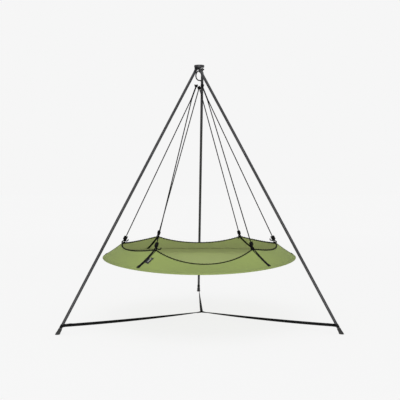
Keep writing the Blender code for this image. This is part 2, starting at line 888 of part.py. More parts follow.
def ring_loft(name, azimuths, sections):
    """A surface through like sections set round the tripod's axis, closed on itself."""
    count = len(sections[0])
    points = [polar(p.x, azimuth, p.y) for azimuth, section in zip(azimuths, sections) for p in section]
    faces = []
    for i in range(len(azimuths)):
        here, there = i * count, (i + 1) % len(azimuths) * count
        faces += [(here + k, there + k, there + k + 1, here + k + 1) for k in range(count - 1)]
    return object_from(name, mesh_from(name, points, faces=faces))


def pod_piece(made, material):
    place(made, material, pod_guide)
    return stay_in_place(made)


def collar():
    azimuths = rim_azimuths()
    made = ring_loft("pod_collar", azimuths, [collar_section(a) for a in azimuths])
    thicken(made, fabric_thickness)
    return pod_piece(made, green_canvas)


sleeve_lip = (sleeve_radius + fabric_thickness / 2) * math.sin(math.radians(45))
floor_edge_radius = pole_circle_radius - sleeve_lip - touch_gap / 2
floor_edge_height = rim_height - sleeve_lip - slide_gap - fabric_thickness / 2


floor_shares = (1, 0.9, 0.75, 0.55, 0.35, 0.15)


def floor_point(share, azimuth):
    """(radius, height) of the dish at a share of its radius; its innermost ring is level."""
    level = floor_shares[-1] ** 2
    droop = rim_fall(azimuth) * (share**2 - level) / (1 - level)
    return Vector((floor_edge_radius * share, floor_edge_height - droop - dish_sag * (1 - share**2)))


def pod_floor():
    """The dish that a person lies in, from the rim to its lowest point."""
    azimuths = rim_azimuths()
    made = ring_loft("pod_floor", azimuths, [[floor_point(s, a) for s in floor_shares] for a in azimuths])
    shape = bmesh.new()
    shape.from_mesh(made.data)
    inner = [e for e in shape.edges if e.is_boundary and e.verts[0].co.xy.length < floor_edge_radius / 2]
    bmesh.ops.edgeloop_fill(shape, edges=inner)
    bmesh.ops.recalc_face_normals(shape, faces=shape.faces)
    shape.to_mesh(made.data)
    shape.free()
    thicken(made, fabric_thickness)
    return pod_piece(made, green_canvas)


def hem_rope():
    points = [hem_corner(a) for a in rim_azimuths()]
    return pod_piece(rod("hem_rope", points, hem_rope_radius, cyclic=True), black_rope)


def ring_pole(number, name):
    """A quarter of the ring of poles that keeps the pod open."""
    span = 360 / len(pole_sections)
    start = 180 + number * span
    gap = math.degrees(pole_end_gap / pole_circle_radius)
    azimuths = [start + gap]
    twice_round = [a + lap for lap in (0, 360) for a in rim_azimuths()]
    azimuths += [a for a in twice_round if start + 0.5 < a < start + span - 0.5]
    azimuths += [start + span - gap]
    points = [polar(pole_circle_radius, a, rim_height - rim_fall(a)) for a in azimuths]
    return pod_piece(rod(f"ring_pole_{name}", points, pole_radius), pole_fibre)


def pod_strap_edge(azimuth, lean, aside):
    """One edge of a pod strap: up the collar's outer face, over the hem rope and down the inner face."""
    lift = fabric_thickness / 2 + pod_strap_gap + pod_strap_thickness / 2
    over = hem_rope_radius + pod_strap_gap + pod_strap_thickness / 2
    length = section_axes(azimuth)[3]
    steps = pod_strap_steps if lean else 1

    def on_collar(travel, rise):
        """A point of the edge, so far down from the hem and so high off the collar's middle."""
        share = travel / length
        radius = hem_radius + (pole_circle_radius - hem_radius) * share
        turned_to = azimuth + lean * share + math.degrees(aside / radius)
        hem, down, normal, reach_down = section_axes(turned_to)
        spot = hem + down * reach_down * share + normal * rise
        return polar(spot.x, turned_to, spot.y)

    def stretch(start, end):
        return [start + (end - start) * i / steps for i in range(steps + 1)]

    edge = [on_collar(travel, lift) for travel in stretch(length - pod_strap_outer_end, pod_strap_bend)]
    at_hem = azimuth + math.degrees(aside / hem_radius)
    hem, down, normal, _ = section_axes(at_hem)
    for degrees in range(0, 181, 30):
        bend = math.radians(degrees)
        spot = hem + over * (normal * math.cos(bend) - down * math.sin(bend))
        edge.append(polar(spot.x, at_hem, spot.y))
    inner = stretch(pod_strap_bend, length - pod_strap_inner_end)
    return edge + [on_collar(travel, -lift - touch_gap) for travel in inner]


def pod_strap(name, azimuth):
    """Webbing folded over the hem at a hem point, sewn down both faces of the collar."""
    lean = pod_strap_leans.get(name, 0)
    tilt = math.atan(math.radians(lean) * pod_radius / section_axes(azimuth)[3])
    half_width = pod_strap_width / 2 / math.cos(tilt)
    left = pod_strap_edge(azimuth, lean, half_width)
    right = pod_strap_edge(azimuth, lean, -half_width)
    made = lofted_strip(f"pod_strap_{name}", left, right, pod_strap_thickness)
    return pod_piece(made, black_webbing)


collar()
pod_floor()
hem_rope()
for pole_number, pole_name in enumerate(pole_sections):
    ring_pole(pole_number, pole_name)
for strap_name, strap_azimuth in hem_azimuths.items():
    pod_strap(strap_name, strap_azimuth)


# Suspension: hitches on the hook, doubled leaders, six rope falls and their knots
def lower_bend_point(degrees):
    return ellipse_point(hook_lower_half_width, hook_lower_half_height, lower_bend_middle, degrees)


def hitch(name, degrees):
    """The turns of rope round the hook's lower bend that carry two falls."""
    bore = hitch_bore_radius
    low, high = -hitch_width / 2, hitch_width / 2
    shoulder = 0.003
    profile = [
        (hitch_outer_radius - shoulder, high),
        (hitch_outer_radius, high - shoulder),
        (hitch_outer_radius, low + shoulder),
        (hitch_outer_radius - shoulder, low),
        (bore, low),
        (bore, high),
    ]
    made = turned(f"top_hitch_{name}", profile)
    turn = math.radians(degrees)
    along = Vector((-hook_lower_half_width * math.sin(turn), 0, hook_lower_half_height * math.cos(turn)))
    tilt = along.to_track_quat("Z", "Y").to_euler()
    place(made, black_rope, pod_guide, lower_bend_point(degrees) - Vector((0, 0, hook_bottom_height)), tilt)
    return made


def fall_group(name):
    """The two hem points that a hitch carries, and where the hitch is."""
    return {
        "left": (("left", "front_left"), -90 - hitch_spread),
        "centre": (("back_left", "back_right"), -90),
        "right": (("front_right", "right"), -90 + hitch_spread),
    }[name]


def leader_ends(name):
    """Top and bottom of the doubled leader under an outer hitch."""
    pair, degrees = fall_group(name)
    hem_middle = (hem_corner(hem_azimuths[pair[0]]) + hem_corner(hem_azimuths[pair[1]])) / 2
    hitch_middle = lower_bend_point(degrees)
    direction = (hem_middle - hitch_middle).normalized()
    top = hitch_middle + direction * (hitch_outer_radius + leader_sink)
    return top, top + direction * leader_drop, direction


def leader(name):
    top, bottom, _ = leader_ends(name)
    made = rod(f"rope_leader_{name}", [top, bottom], leader_radius, resolution=2)
    return pod_piece(made, black_rope)


def fall_start(name, number):
    """Where a fall begins: side by side under a leader, or under the centre hitch."""
    pair, degrees = fall_group(name)
    sideways = (hem_corner(hem_azimuths[pair[1]]) - hem_corner(hem_azimuths[pair[0]])).normalized()
    sign = 1 if number else -1
    if name == "centre":
        drop = hitch_outer_radius + rope_radius * fall_slope + touch_gap
        below = lower_bend_point(degrees) - Vector((0, 0, drop))
        return below + sideways * sign * leader_rope_spacing / 2
    _, bottom, direction = leader_ends(name)
    return bottom + direction * slide_gap * 4 + sideways * sign * leader_rope_spacing / 2


def fall(name, number):
    """A straight taut rope from the top down to its knot above the hem."""
    pair, _ = fall_group(name)
    hem = hem_corner(hem_azimuths[pair[number]])
    start = fall_start(name, number)
    up = (start - hem).normalized()
    end = hem + up * (knot_height + knot_half_length + slide_gap)
    made = rod(f"rope_{pair[number]}", [start, end], rope_radius)
    pod_piece(made, black_rope)
    knot(pair[number], hem, up)


def knot(name, hem, up):
    """A knot with its loop through the hem strap and a short curled tail, joined as one piece."""
    seat = hem_rope_radius + pod_strap_gap + pod_strap_thickness + touch_gap
    outward = Vector((hem.x, hem.y, 0)).normalized()
    aside = up.cross(outward).normalized()
    outward = aside.cross(up).normalized()
    to_rope = Matrix((aside, outward, up)).transposed().to_4x4()
    middle = hem + up * knot_height
    shape = bmesh.new()
    bmesh.ops.create_uvsphere(shape, u_segments=10, v_segments=7, radius=1)
    size = Matrix.Diagonal((knot_radius, knot_depth, knot_half_length, 1))
    bmesh.ops.transform(shape, matrix=Matrix.Translation(middle) @ to_rope @ size, verts=shape.verts)
    mesh = bpy.data.meshes.new(f"knot_{name}")
    shape.to_mesh(mesh)
    shape.free()
    ball = object_from(f"knot_{name}", mesh)
    stem_low = hem + up * (seat + 0.0006)
    stem = as_mesh(rod(f"stem_{name}", [stem_low, middle], knot_stem_radius))
    inward = -1 if hem.x > 0 else 1
    reach = Vector((inward, 0, 0))
    tail_start = middle - up * knot_tail_seat
    bends = [tail_start + (reach * a + up * b) * knot_tail_length for a, b in knot_tail_line]
    tail_line = smooth_line(bends, 3)
    tail = as_mesh(rod(f"tail_{name}", tail_line, knot_tail_radius))
    for tool in (stem, tail):
        tool.parent = pod_guide
        stay_in_place(tool)
    pod_piece(ball, black_rope)
    return combine(ball, "UNION", stem, tail)


for group_name in ("left", "centre", "right"):
    hitch(group_name, fall_group(group_name)[1])
    if group_name != "centre":
        leader(group_name)
    for fall_number in (0, 1):
        fall(group_name, fall_number)
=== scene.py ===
"""Pod hammock in its three-legged stand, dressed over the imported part: camera, studio, then the pieces in the
order in which the stand is put up and the pod is hung."""

import json
import math

import bmesh
import bpy
from mathutils import Matrix, Vector


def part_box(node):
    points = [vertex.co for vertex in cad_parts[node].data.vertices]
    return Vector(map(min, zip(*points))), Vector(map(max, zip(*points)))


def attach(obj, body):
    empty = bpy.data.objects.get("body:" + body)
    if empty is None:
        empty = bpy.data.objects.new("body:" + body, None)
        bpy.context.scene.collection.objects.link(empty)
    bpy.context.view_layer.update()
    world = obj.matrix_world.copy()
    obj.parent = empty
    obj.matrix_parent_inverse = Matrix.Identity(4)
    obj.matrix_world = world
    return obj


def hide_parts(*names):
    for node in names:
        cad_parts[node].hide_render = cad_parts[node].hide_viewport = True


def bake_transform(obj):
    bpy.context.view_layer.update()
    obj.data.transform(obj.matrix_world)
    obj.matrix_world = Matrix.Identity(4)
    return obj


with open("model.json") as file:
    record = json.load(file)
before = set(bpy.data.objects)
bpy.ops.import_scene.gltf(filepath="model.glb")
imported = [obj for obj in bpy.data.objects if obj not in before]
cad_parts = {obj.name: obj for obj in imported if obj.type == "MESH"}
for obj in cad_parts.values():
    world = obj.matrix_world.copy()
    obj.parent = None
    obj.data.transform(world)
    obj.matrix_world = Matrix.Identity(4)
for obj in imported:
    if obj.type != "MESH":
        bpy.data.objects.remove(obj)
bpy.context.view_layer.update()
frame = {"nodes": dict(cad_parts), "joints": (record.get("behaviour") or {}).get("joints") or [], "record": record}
nodes = frame["nodes"]
joints = {joint["name"]: joint for joint in frame["joints"]}
mounts = {mount["name"]: mount for mount in frame["record"]["mounts"]}
sides = ("left", "right", "back")


# Camera: chest height, in front of the single rear leg and a little left of it, tilted down by a few degrees.
# It was fitted to the feet, the head and the pod's rim in the photograph.
camera_distance = 6.576  # metres in front of the stand's upright axis
camera_height = 1.400
camera_aside = -0.037
camera_tilt = 0.0451  # radians down
camera_turn = 0.0067
focal_px = 703.6
image_px = 400
sensor_width = 36.0

head_top = Vector(mounts["head_top"]["pos_m"])
axis_y = head_top.y


def new_object(name, data):
    """Puts a new object in the scene."""
    made = bpy.data.objects.new(name, data)
    bpy.context.scene.collection.objects.link(made)
    return made


camera = new_object("camera", bpy.data.cameras.new("camera"))
camera.data.sensor_width = sensor_width
camera.data.lens = focal_px / image_px * sensor_width
camera.location = (camera_aside, axis_y - camera_distance, camera_height)
camera.rotation_euler = (math.pi / 2 - camera_tilt, 0, -camera_turn)
bpy.context.scene.camera = camera


# Studio: a plain pale sweep, a broad soft light overhead and another by the camera, which looks in under the
# pod's collar and is kept off the floor. The floor gives most of its own light, as evenly as in a catalogue
# photograph, so only a trace of shade is left under the pod and straps.
sweep_size = 60
sweep_own_light = 0.835
sweep_far_light = 0.858  # out where the softbox hardly reaches, so that no horizon shows
softbox_reach = (1.0, 9.0)
sweep_matt = "#555555"
backdrop_colour = "#f6f6f6"
softbox_size = 5.0
softbox_height = 6.0
softbox_aside = -0.6
softbox_forward = 0.8
softbox_power = 110
front_panel_size = 3.5
front_panel_height = 1.5
front_panel_power = 380
front_panel_gap = 0.8  # how far it stands behind the camera
sky_top = 0.80
sky_level = 0.62
white = (1, 1, 1, 1)


def paint(hex_colour):
    """An sRGB hex colour as linear red, green, blue and alpha."""
    parts = [int(hex_colour[i : i + 2], 16) / 255 for i in (1, 3, 5)]
    return (*[p / 12.92 if p <= 0.04045 else ((p + 0.055) / 1.055) ** 2.4 for p in parts], 1)


def add(tree, kind, sockets=(), **settings):
    """Adds a node, sets it up, and fills its sockets with values or with other nodes' outputs."""
    made = tree.nodes.new(kind)
    for name, value in settings.items():
        setattr(made, name, value)
    for name, value in dict(sockets).items():
        if isinstance(value, bpy.types.NodeSocket):
            tree.links.new(value, made.inputs[name])
        else:
            made.inputs[name].default_value = value
    return made


def empty_tree(shaded):
    """The node tree of a new material or world, with nothing in it."""
    shaded.use_nodes = True
    shaded.node_tree.nodes.clear()
    return shaded.node_tree


def area_lamp(name, size, power, location, rotation=(0, 0, 0)):
    lamp = new_object(name, bpy.data.lights.new(name, "AREA"))
    lamp.data.size = size
    lamp.data.energy = power
    lamp.location = location
    lamp.rotation_euler = rotation
    return lamp


bpy.ops.object.select_all(action="DESELECT")
bpy.ops.mesh.primitive_plane_add(size=sweep_size, location=(0, 0, 0))
sweep = bpy.context.object
sweep.name = "studio_sweep"
sweep.data.materials.append(bpy.data.materials.new("matt_white_sweep"))
tree = empty_tree(sweep.data.materials[0])
place = add(tree, "ShaderNodeTexCoord").outputs["Object"]
reach = add(tree, "ShaderNodeVectorMath", {0: place}, operation="LENGTH").outputs["Value"]
spread = {"From Min": softbox_reach[0], "From Max": softbox_reach[1]}
ends = {"To Min": sweep_own_light, "To Max": sweep_far_light}
evened = add(tree, "ShaderNodeMapRange", {"Value": reach, **spread, **ends})
glow = add(tree, "ShaderNodeEmission", {"Color": white, "Strength": evened.outputs[0]})
matt = add(tree, "ShaderNodeBsdfDiffuse", {"Color": paint(sweep_matt)})
both = add(tree, "ShaderNodeAddShader", {0: glow.outputs[0], 1: matt.outputs[0]})
add(tree, "ShaderNodeOutputMaterial", {"Surface": both.outputs[0]})

world = bpy.data.worlds.new("soft_studio")
tree = empty_tree(world)
direction = add(tree, "ShaderNodeTexCoord").outputs["Generated"]
upness = add(tree, "ShaderNodeSeparateXYZ", {0: direction}).outputs["Z"]
level = add(tree, "ShaderNodeMapRange", {"Value": upness, "To Min": sky_level, "To Max": sky_top})
lit = add(tree, "ShaderNodeBackground", {"Color": white, "Strength": level.outputs[0]})
plain = add(tree, "ShaderNodeBackground", {"Color": paint(backdrop_colour), "Strength": 1})
seen = add(tree, "ShaderNodeLightPath").outputs["Is Camera Ray"]
backdrop = add(tree, "ShaderNodeMixShader", {0: seen, 1: lit.outputs[0], 2: plain.outputs[0]})
add(tree, "ShaderNodeOutputWorld", {"Surface": backdrop.outputs[0]})
bpy.context.scene.world = world
bpy.context.scene.view_settings.view_transform = "Standard"

area_lamp("softbox", softbox_size, softbox_power, (softbox_aside, axis_y - softbox_forward, softbox_height))
panel_place = (camera_aside, axis_y - camera_distance - front_panel_gap, front_panel_height)
front_panel = area_lamp("front_panel", front_panel_size, front_panel_power, panel_place, (math.pi / 2, 0, 0))
not_lit_by_panel = bpy.data.collections.new("not_lit_by_panel")
not_lit_by_panel.objects.link(sweep)
not_lit_by_panel.collection_objects[0].light_linking.link_state = "EXCLUDE"
front_panel.light_linking.receiver_collection = not_lit_by_panel


# Head cap: a round cap moulded in black ABS, 95 mm across, that closes the top of the head. It is hollow
# below, drops over the steel plate, and has a small round on its edge.
cap_radius = 0.0475
cap_depth = 0.019
cap_wall = 0.003
cap_round = 0.0022
cap_lip = 0.0012  # the mouth is drawn in a little where it leaves the mould
cap_centre = cap_radius * 0.3
abs_grain_mm = 0.6
round_sides = 64
on_axis = Matrix.Translation((0, axis_y, 0))


def pick(*pieces):
    """Leaves these pieces selected and the first of them active, as clicks on them would."""
    bpy.ops.object.select_all(action="DESELECT")
    for piece in pieces:
        piece.select_set(True)
    bpy.context.view_layer.objects.active = pieces[0]


def open_edit(piece):
    """Opens a piece in edit mode with all of it selected."""
    pick(piece)
    bpy.ops.object.mode_set(mode="EDIT")
    bpy.ops.mesh.select_all(action="SELECT")


def close_edit():
    """Turns every face outwards and leaves edit mode."""
    bpy.ops.mesh.select_all(action="SELECT")
    bpy.ops.mesh.normals_make_consistent(inside=False)
    bpy.ops.object.mode_set(mode="OBJECT")


def draw_out(rings, sides=round_sides):
    """A round closed piece, extruded ring by ring from a circle: each ring is its radius and its height."""
    bpy.ops.object.select_all(action="DESELECT")
    bpy.ops.mesh.primitive_circle_add(vertices=sides, radius=rings[0][0], location=(0, 0, rings[0][1]))
    piece = bpy.context.object
    bpy.ops.object.transform_apply()
    open_edit(piece)
    for (radius, low), (next_radius, high) in zip(rings, rings[1:]):
        bpy.ops.mesh.extrude_region_move(TRANSFORM_OT_translate={"value": (0, 0, high - low)})
        scale = next_radius / radius
        bpy.ops.transform.resize(value=(scale, scale, 1), center_override=(0, 0, high))
    bpy.ops.mesh.select_all(action="SELECT")
    bpy.ops.mesh.fill_holes(sides=0)
    close_edit()
    return piece


def soften(piece, width, segments=3, angle=40):
    """Rounds a piece's sharp edges."""
    bevel = piece.modifiers.new("rounded_edges", "BEVEL")
    bevel.width = width
    bevel.segments = segments
    bevel.angle_limit = math.radians(angle)
    return piece


def settle(piece, name, place=None, smooth=35):
    """Applies a finished piece's modifiers and puts its place in its mesh."""
    pick(piece)
    for modifier in list(piece.modifiers):
        bpy.ops.object.modifier_apply(modifier=modifier.name)
    piece.data.transform((place or Matrix.Identity(4)) @ piece.matrix_basis)
    piece.matrix_basis = Matrix.Identity(4)
    bpy.ops.object.shade_smooth_by_angle(angle=math.radians(smooth))
    piece.name = name
    piece.data.name = name
    return piece


def dress(piece, finish, slot, body, *replaced):
    """Gives a piece its finish, the body it moves with and the CAD nodes it stands for. Its record slot is not
    used.
    """
    piece.data.materials.clear()
    piece.data.materials.append(finish.material)
    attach(piece, body)
    if replaced:
        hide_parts(*replaced)
    return piece


class Finish:
    """A material with one Principled shader, and short ways to lay patterns on it in the piece's coordinates.
    Colour mix nodes number their colour sockets 6 and 7 and their colour output 2."""

    def __init__(self, name, colour, roughness, metallic=0.0):
        self.material = bpy.data.materials.new(name)
        self.material.use_nodes = True
        self.tree = self.material.node_tree
        self.shader = self.tree.nodes["Principled BSDF"]
        self.set("Base Color", paint(colour))
        self.set("Roughness", roughness)
        self.set("Metallic", metallic)
        spot = add(self.tree, "ShaderNodeTexCoord")
        self.place = spot.outputs["Object"]
        self.weave = spot.outputs["UV"]

    def set(self, socket, value):
        self.shader.inputs[socket].default_value = value

    def feed(self, socket, output):
        self.tree.links.new(output, self.shader.inputs[socket])

    def noise(self, scale, detail=2, **more):
        sockets = {"Vector": self.place, "Scale": scale, "Detail": detail, **more}
        return add(self.tree, "ShaderNodeTexNoise", sockets).outputs[0]

    def ribs(self, vector, scale, direction):
        sockets = {"Vector": vector, "Scale": scale}
        return add(self.tree, "ShaderNodeTexWave", sockets, bands_direction=direction).outputs[1]

    def maths(self, operation, *values):
        return add(self.tree, "ShaderNodeMath", dict(enumerate(values)), operation=operation).outputs[0]

    def range_of(self, value, low, high, start=0.0):
        sockets = {"Value": value, "From Min": start, "To Min": low, "To Max": high}
        return add(self.tree, "ShaderNodeMapRange", sockets).outputs[0]

    def tint(self, share, dark, light):
        tone = add(self.tree, "ShaderNodeMix", {0: share, 6: paint(dark), 7: paint(light)}, data_type="RGBA")
        self.feed("Base Color", tone.outputs[2])

    def emboss(self, height, distance, strength):
        sockets = {"Height": height, "Distance": distance, "Strength": strength}
        relief = add(self.tree, "ShaderNodeBump", sockets).outputs[0]
        self.feed("Normal", relief)
        return relief

    def yarns(self, height, distance, strength, light):
        """Relief from a wave between -1 and 1, with painted shade: the colour is darker in the hollows than on the
        yarns.
        """
        self.emboss(height, distance, strength)
        # painted shade: the hollows between the yarns are tinted near black
        self.tint(self.range_of(height, 0.2, 1.0, -1), "#030303", light)

    def twist(self, scale):
        """The fine slanting relief of twisted thread."""
        self.emboss(self.ribs(self.place, scale, "DIAGONAL"), 0.0001, 0.5)


# Injection-moulded ABS, spark-eroded to a fine matt grain, so its highlights are broad and soft
moulded_abs = Finish("moulded_abs", "#1d1d1f", 0.5)
cloud = moulded_abs.noise(45, 3)
moulded_abs.tint(cloud, "#18181a", "#242427")
moulded_abs.feed("Roughness", moulded_abs.range_of(cloud, 0.42, 0.58))
moulded_abs.emboss(moulded_abs.noise(1000 / abs_grain_mm), 0.00004, 0.5)

cap_top = head_top.z
cap_mouth = cap_top - cap_depth
cap_rings = [(cap_centre, cap_top), (cap_radius - cap_lip, cap_top), (cap_radius, cap_top - cap_depth * 0.35)]
cap_rings += [(cap_radius - cap_lip, cap_mouth), (cap_radius - cap_wall, cap_mouth)]
cap_rings += [(cap_radius - cap_wall, cap_top - cap_wall), (cap_centre, cap_top - cap_wall)]
cap = settle(soften(draw_out(cap_rings), cap_round), "moulded_head_cap", on_axis)
dress(cap, moulded_abs, "moulded_cap", "stand_head", "head_cap")


# Head plate and leg ends: pressed and welded steel under the cap, with a pair of ears for each leg, and a
# turned steel end in each leg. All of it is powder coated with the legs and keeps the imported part's shapes.
powder_peel_mm = 1.6
powder_coat = Finish("powder_coated_steel", "#28282a", 0.42)
cloud = powder_coat.noise(5, 3, Roughness=0.5)
powder_coat.tint(cloud, "#252527", "#2b2b2d")
powder_coat.feed("Roughness", powder_coat.range_of(cloud, 0.40, 0.46))
powder_coat.emboss(powder_coat.noise(1000 / powder_peel_mm, 1), 0.00002, 0.3)
powder_coat.set("Specular IOR Level", 0.35)


def finish_node(name, finish):
    """Gives a CAD node that stays in view its finish."""
    nodes[name].data.materials.clear()
    nodes[name].data.materials.append(finish.material)


finish_node("head_plate", powder_coat)
for side in sides:
    finish_node(f"leg_end_{side}", powder_coat)


# Hinge bolts, their nuts and the eye's nut: M8 and M10 steel, zinc plated and passivated black. The plating
# is a thin dark metal film, brighter where spanners and fingers have rubbed it.
black_zinc = Finish("black_zinc_plate", "#171718", 0.4, 1.0)
rub = black_zinc.noise(160, 4)
black_zinc.tint(rub, "#101011", "#202022")
black_zinc.feed("Roughness", black_zinc.range_of(rub, 0.34, 0.48))

finish_node("eye_nut", black_zinc)
for side in sides:
    finish_node(f"pivot_bolt_{side}", black_zinc)
    finish_node(f"pivot_nut_{side}", black_zinc)


# Swivel eye: a forged ring on a collared shank that turns in the plate and carries the hook. It is drop
# forged and black plated, smooth enough that the hook slides round it.
eye_ring_radius = 0.013
eye_rod_radius = 0.0045
eye_collar_radius = 0.009
eye_collar_height = 0.003
eye_shank_radius = 0.005
eye_fillet = 0.0008
touch_gap = 0.0003

eye_height = Vector(joints["eye_turn"]["pos_m"]).z
eye_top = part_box("eye_bolt")[1][2]
collar_top = cap_mouth - touch_gap
collar_bottom = collar_top - eye_collar_height


def join(pieces):
    """Joins pieces into the first of them."""
    pick(*pieces)
    bpy.ops.object.join()
    return pieces[0]


bpy.ops.object.select_all(action="DESELECT")
bpy.ops.mesh.primitive_torus_add(
    major_radius=eye_ring_radius,
    minor_radius=eye_rod_radius,
    major_segments=64,
    minor_segments=24,
    location=(0, 0, eye_height),
    rotation=(0, math.pi / 2, 0),
)
eye = bpy.context.object
bpy.ops.object.transform_apply()
shank_rings = [(eye_shank_radius * 0.5, eye_top), (eye_shank_radius, eye_top - eye_fillet)]
shank_rings += [(eye_shank_radius, collar_top), (eye_collar_radius, collar_top)]
shank_rings += [(eye_collar_radius, collar_bottom), (eye_shank_radius, collar_bottom - eye_fillet)]
shank_rings += [(eye_shank_radius * 0.9, eye_height + eye_ring_radius + eye_rod_radius)]
shank_rings += [(eye_shank_radius * 1.1, eye_height + eye_ring_radius)]
shank = settle(soften(draw_out(shank_rings, 32), eye_fillet * 0.5, 2), "eye_shank")
settle(join([eye, shank]), "forged_swivel_eye", on_axis)
dress(eye, black_zinc, "black_steel", "swivel_eye", "eye_bolt")


# S-hook: one length of 11 mm round steel bent cold into two hooks that face opposite ways, with dressed ends
# and the same black plating. Its upper bend hangs in the eye and its lower bend carries the rope hitches.
hook_rod_radius = 0.0055
hook_half_width = 0.031
hook_upper_half_height = 0.0435
hook_lower_half_height = 0.0330
hook_upper_tip = -32  # degrees round the upper bend from +X
hook_lower_tip = -168
hook_tip_shares = (0.45, 0.85)  # of the rod's radius, at a dressed end and one step in from it
hook_steps = 120

lower_bend_middle = joints["pod_swing"]["pos_m"][2] + hook_lower_half_height
upper_bend_middle = lower_bend_middle + hook_lower_half_height + hook_upper_half_height


def circle(degrees):
    """The cosine and sine of an angle in degrees."""
    turn = math.radians(degrees)
    return math.cos(turn), math.sin(turn)


def shares(steps):
    """Evenly stepped shares from 0 to 1."""
    return [i / steps for i in range(steps + 1)]


def bend_point(middle, half_height, degrees):
    """A point on one of the hook's two bends."""
    across, up = circle(degrees)
    return Vector((hook_half_width * across, axis_y, middle + half_height * up))


def rod_along(points, radius, sides=12, closed=False, dress_ends=False):
    """A round rod or rope through a line of points. Its UV map runs along it in metres, and once round it."""
    curve = bpy.data.curves.new("rod", "CURVE")
    curve.dimensions = "3D"
    curve.bevel_depth = radius
    curve.bevel_resolution = (sides - 4) // 2
    curve.use_fill_caps = not closed
    line = curve.splines.new("POLY")
    line.points.add(len(points) - 1)
    for spot, point in zip(line.points, points):
        spot.co = (*point, 1)
    if dress_ends:
        for i, share in enumerate(hook_tip_shares):
            line.points[i].radius = line.points[-1 - i].radius = share
    line.use_cyclic_u = closed
    pick(new_object("rod", curve))
    bpy.ops.object.convert(target="MESH")
    piece = bpy.context.object
    length = travelled(points)[-1]
    for spot in piece.data.uv_layers[0].data:
        spot.uv.x *= length
    open_edit(piece)
    bpy.ops.mesh.remove_doubles(threshold=0.00001)
    close_edit()
    return piece


def travelled(points):
    """How far along a line each of its points lies."""
    found = [0.0]
    for a, b in zip(points, points[1:]):
        found.append(found[-1] + (b - a).length)
    return found


upper_sweep = 270 - hook_upper_tip
lower_sweep = hook_lower_tip - 90
hook_line = [
    bend_point(upper_bend_middle, hook_upper_half_height, hook_upper_tip + upper_sweep * share)
    for share in shares(hook_steps)[:-1]
]
hook_line += [
    bend_point(lower_bend_middle, hook_lower_half_height, 90 + lower_sweep * share)
    for share in shares(hook_steps)
]
hook = settle(rod_along(hook_line, hook_rod_radius, 24, dress_ends=True), "bent_s_hook")
dress(hook, black_zinc, "black_steel", "hook", "s_hook")


# Leg tubes: three lengths of 25 mm steel tube to a leg, powder coated satin dark grey. Each of the upper two
# ends in a narrower spigot that plugs into the next tube, held by a spring button that shows in a hole.
tube_radius = 0.0125
tube_wall = 0.0015
tube_start = 0.0363  # from the hinge down to the top of the uppermost tube
sole_thickness = 0.014
spigot_length = 0.070
spigot_slack = 0.0004
tube_edge = 0.0005
button_radius = 0.0032
button_height = 0.0016
button_drop = 0.032  # from the joint down to the button
section_names = ("upper", "middle", "lower")

leg_line = Vector(joints["leg_left_fold"]["pos_m"]) - Vector(mounts["foot_left"]["pos_m"])
leg_length = leg_line.length
leg_steepness = leg_line.z / leg_length
tube_end = leg_length - sole_thickness / leg_steepness
section_length = (tube_end - tube_start) / len(section_names)


def leg_place(side):
    """The matrix that puts a piece made about its own hinge, foot down -Z and pin along Y, on a leg."""
    joint = joints[f"leg_{side}_fold"]
    hinge = Vector(joint["pos_m"])
    up = (hinge - Vector(mounts[f"foot_{side}"]["pos_m"])).normalized()
    pin = Vector(joint["axis"])
    axes = Matrix((pin.cross(up), pin, up)).transposed().to_4x4()
    return Matrix.Translation(hinge) @ axes


def leg_tube(number):
    """One section, about the leg's hinge; sections below a joint carry the button of the one above."""
    top = -(tube_start + number * section_length)
    bottom = top - section_length
    bore = tube_radius - tube_wall
    rings = [(bore, top - spigot_length * 1.2), (bore, top), (tube_radius, top)]
    if section_names[number] == "lower":
        rings += [(tube_radius, bottom), (bore, bottom), (bore, bottom + tube_radius)]
    else:
        spigot = bore - spigot_slack
        shoulder = bottom + touch_gap
        rings += [(tube_radius, shoulder), (spigot, shoulder), (spigot, bottom - spigot_length)]
    tube = soften(draw_out(rings, 40), tube_edge, 2)
    if number:
        bpy.ops.object.select_all(action="DESELECT")
        spot = (tube_radius, 0, top - button_drop)
        bpy.ops.mesh.primitive_uv_sphere_add(segments=20, ring_count=12, radius=button_radius, location=spot)
        button = bpy.context.object
        button.scale = (button_height / button_radius, 1, 1)
        join([settle(tube, "tube"), settle(button, "spring_button")])
    return tube


def copy_of(piece):
    """A copy with its own mesh."""
    twin = piece.copy()
    twin.data = piece.data.copy()
    bpy.context.scene.collection.objects.link(twin)
    return twin


for number, section in enumerate(section_names):
    pattern = leg_tube(number)
    for side in sides:
        tube = settle(copy_of(pattern), f"{section}_tube_{side}", leg_place(side))
        dress(tube, powder_coat, "coated_steel", f"leg_{side}", f"leg_{side}_{section}")
    bpy.data.objects.remove(pattern)


# Feet: thick rubber caps pushed on the ends of the tubes, with three grip rings round the mouth, flared
# towards the floor and cut off level so that the whole sole bears.
foot_radius = 0.0160
foot_flare = 0.0025
foot_length = 0.051
foot_slack = 0.0004
foot_rings = 3
foot_ring_pitch = 0.005
foot_ring_height = 0.0009
foot_round = 0.0006
foot_spare = 0.03  # moulded on below the leg's end before the sole is cut

# Compression-moulded natural rubber: dull, faintly dusty, with the fine bloom that rubber gets outdoors
moulded_rubber = Finish("moulded_rubber", "#161616", 0.8)
bloom = moulded_rubber.noise(90, 5)
moulded_rubber.tint(bloom, "#101010", "#242322")
moulded_rubber.emboss(bloom, 0.0002, 0.3)

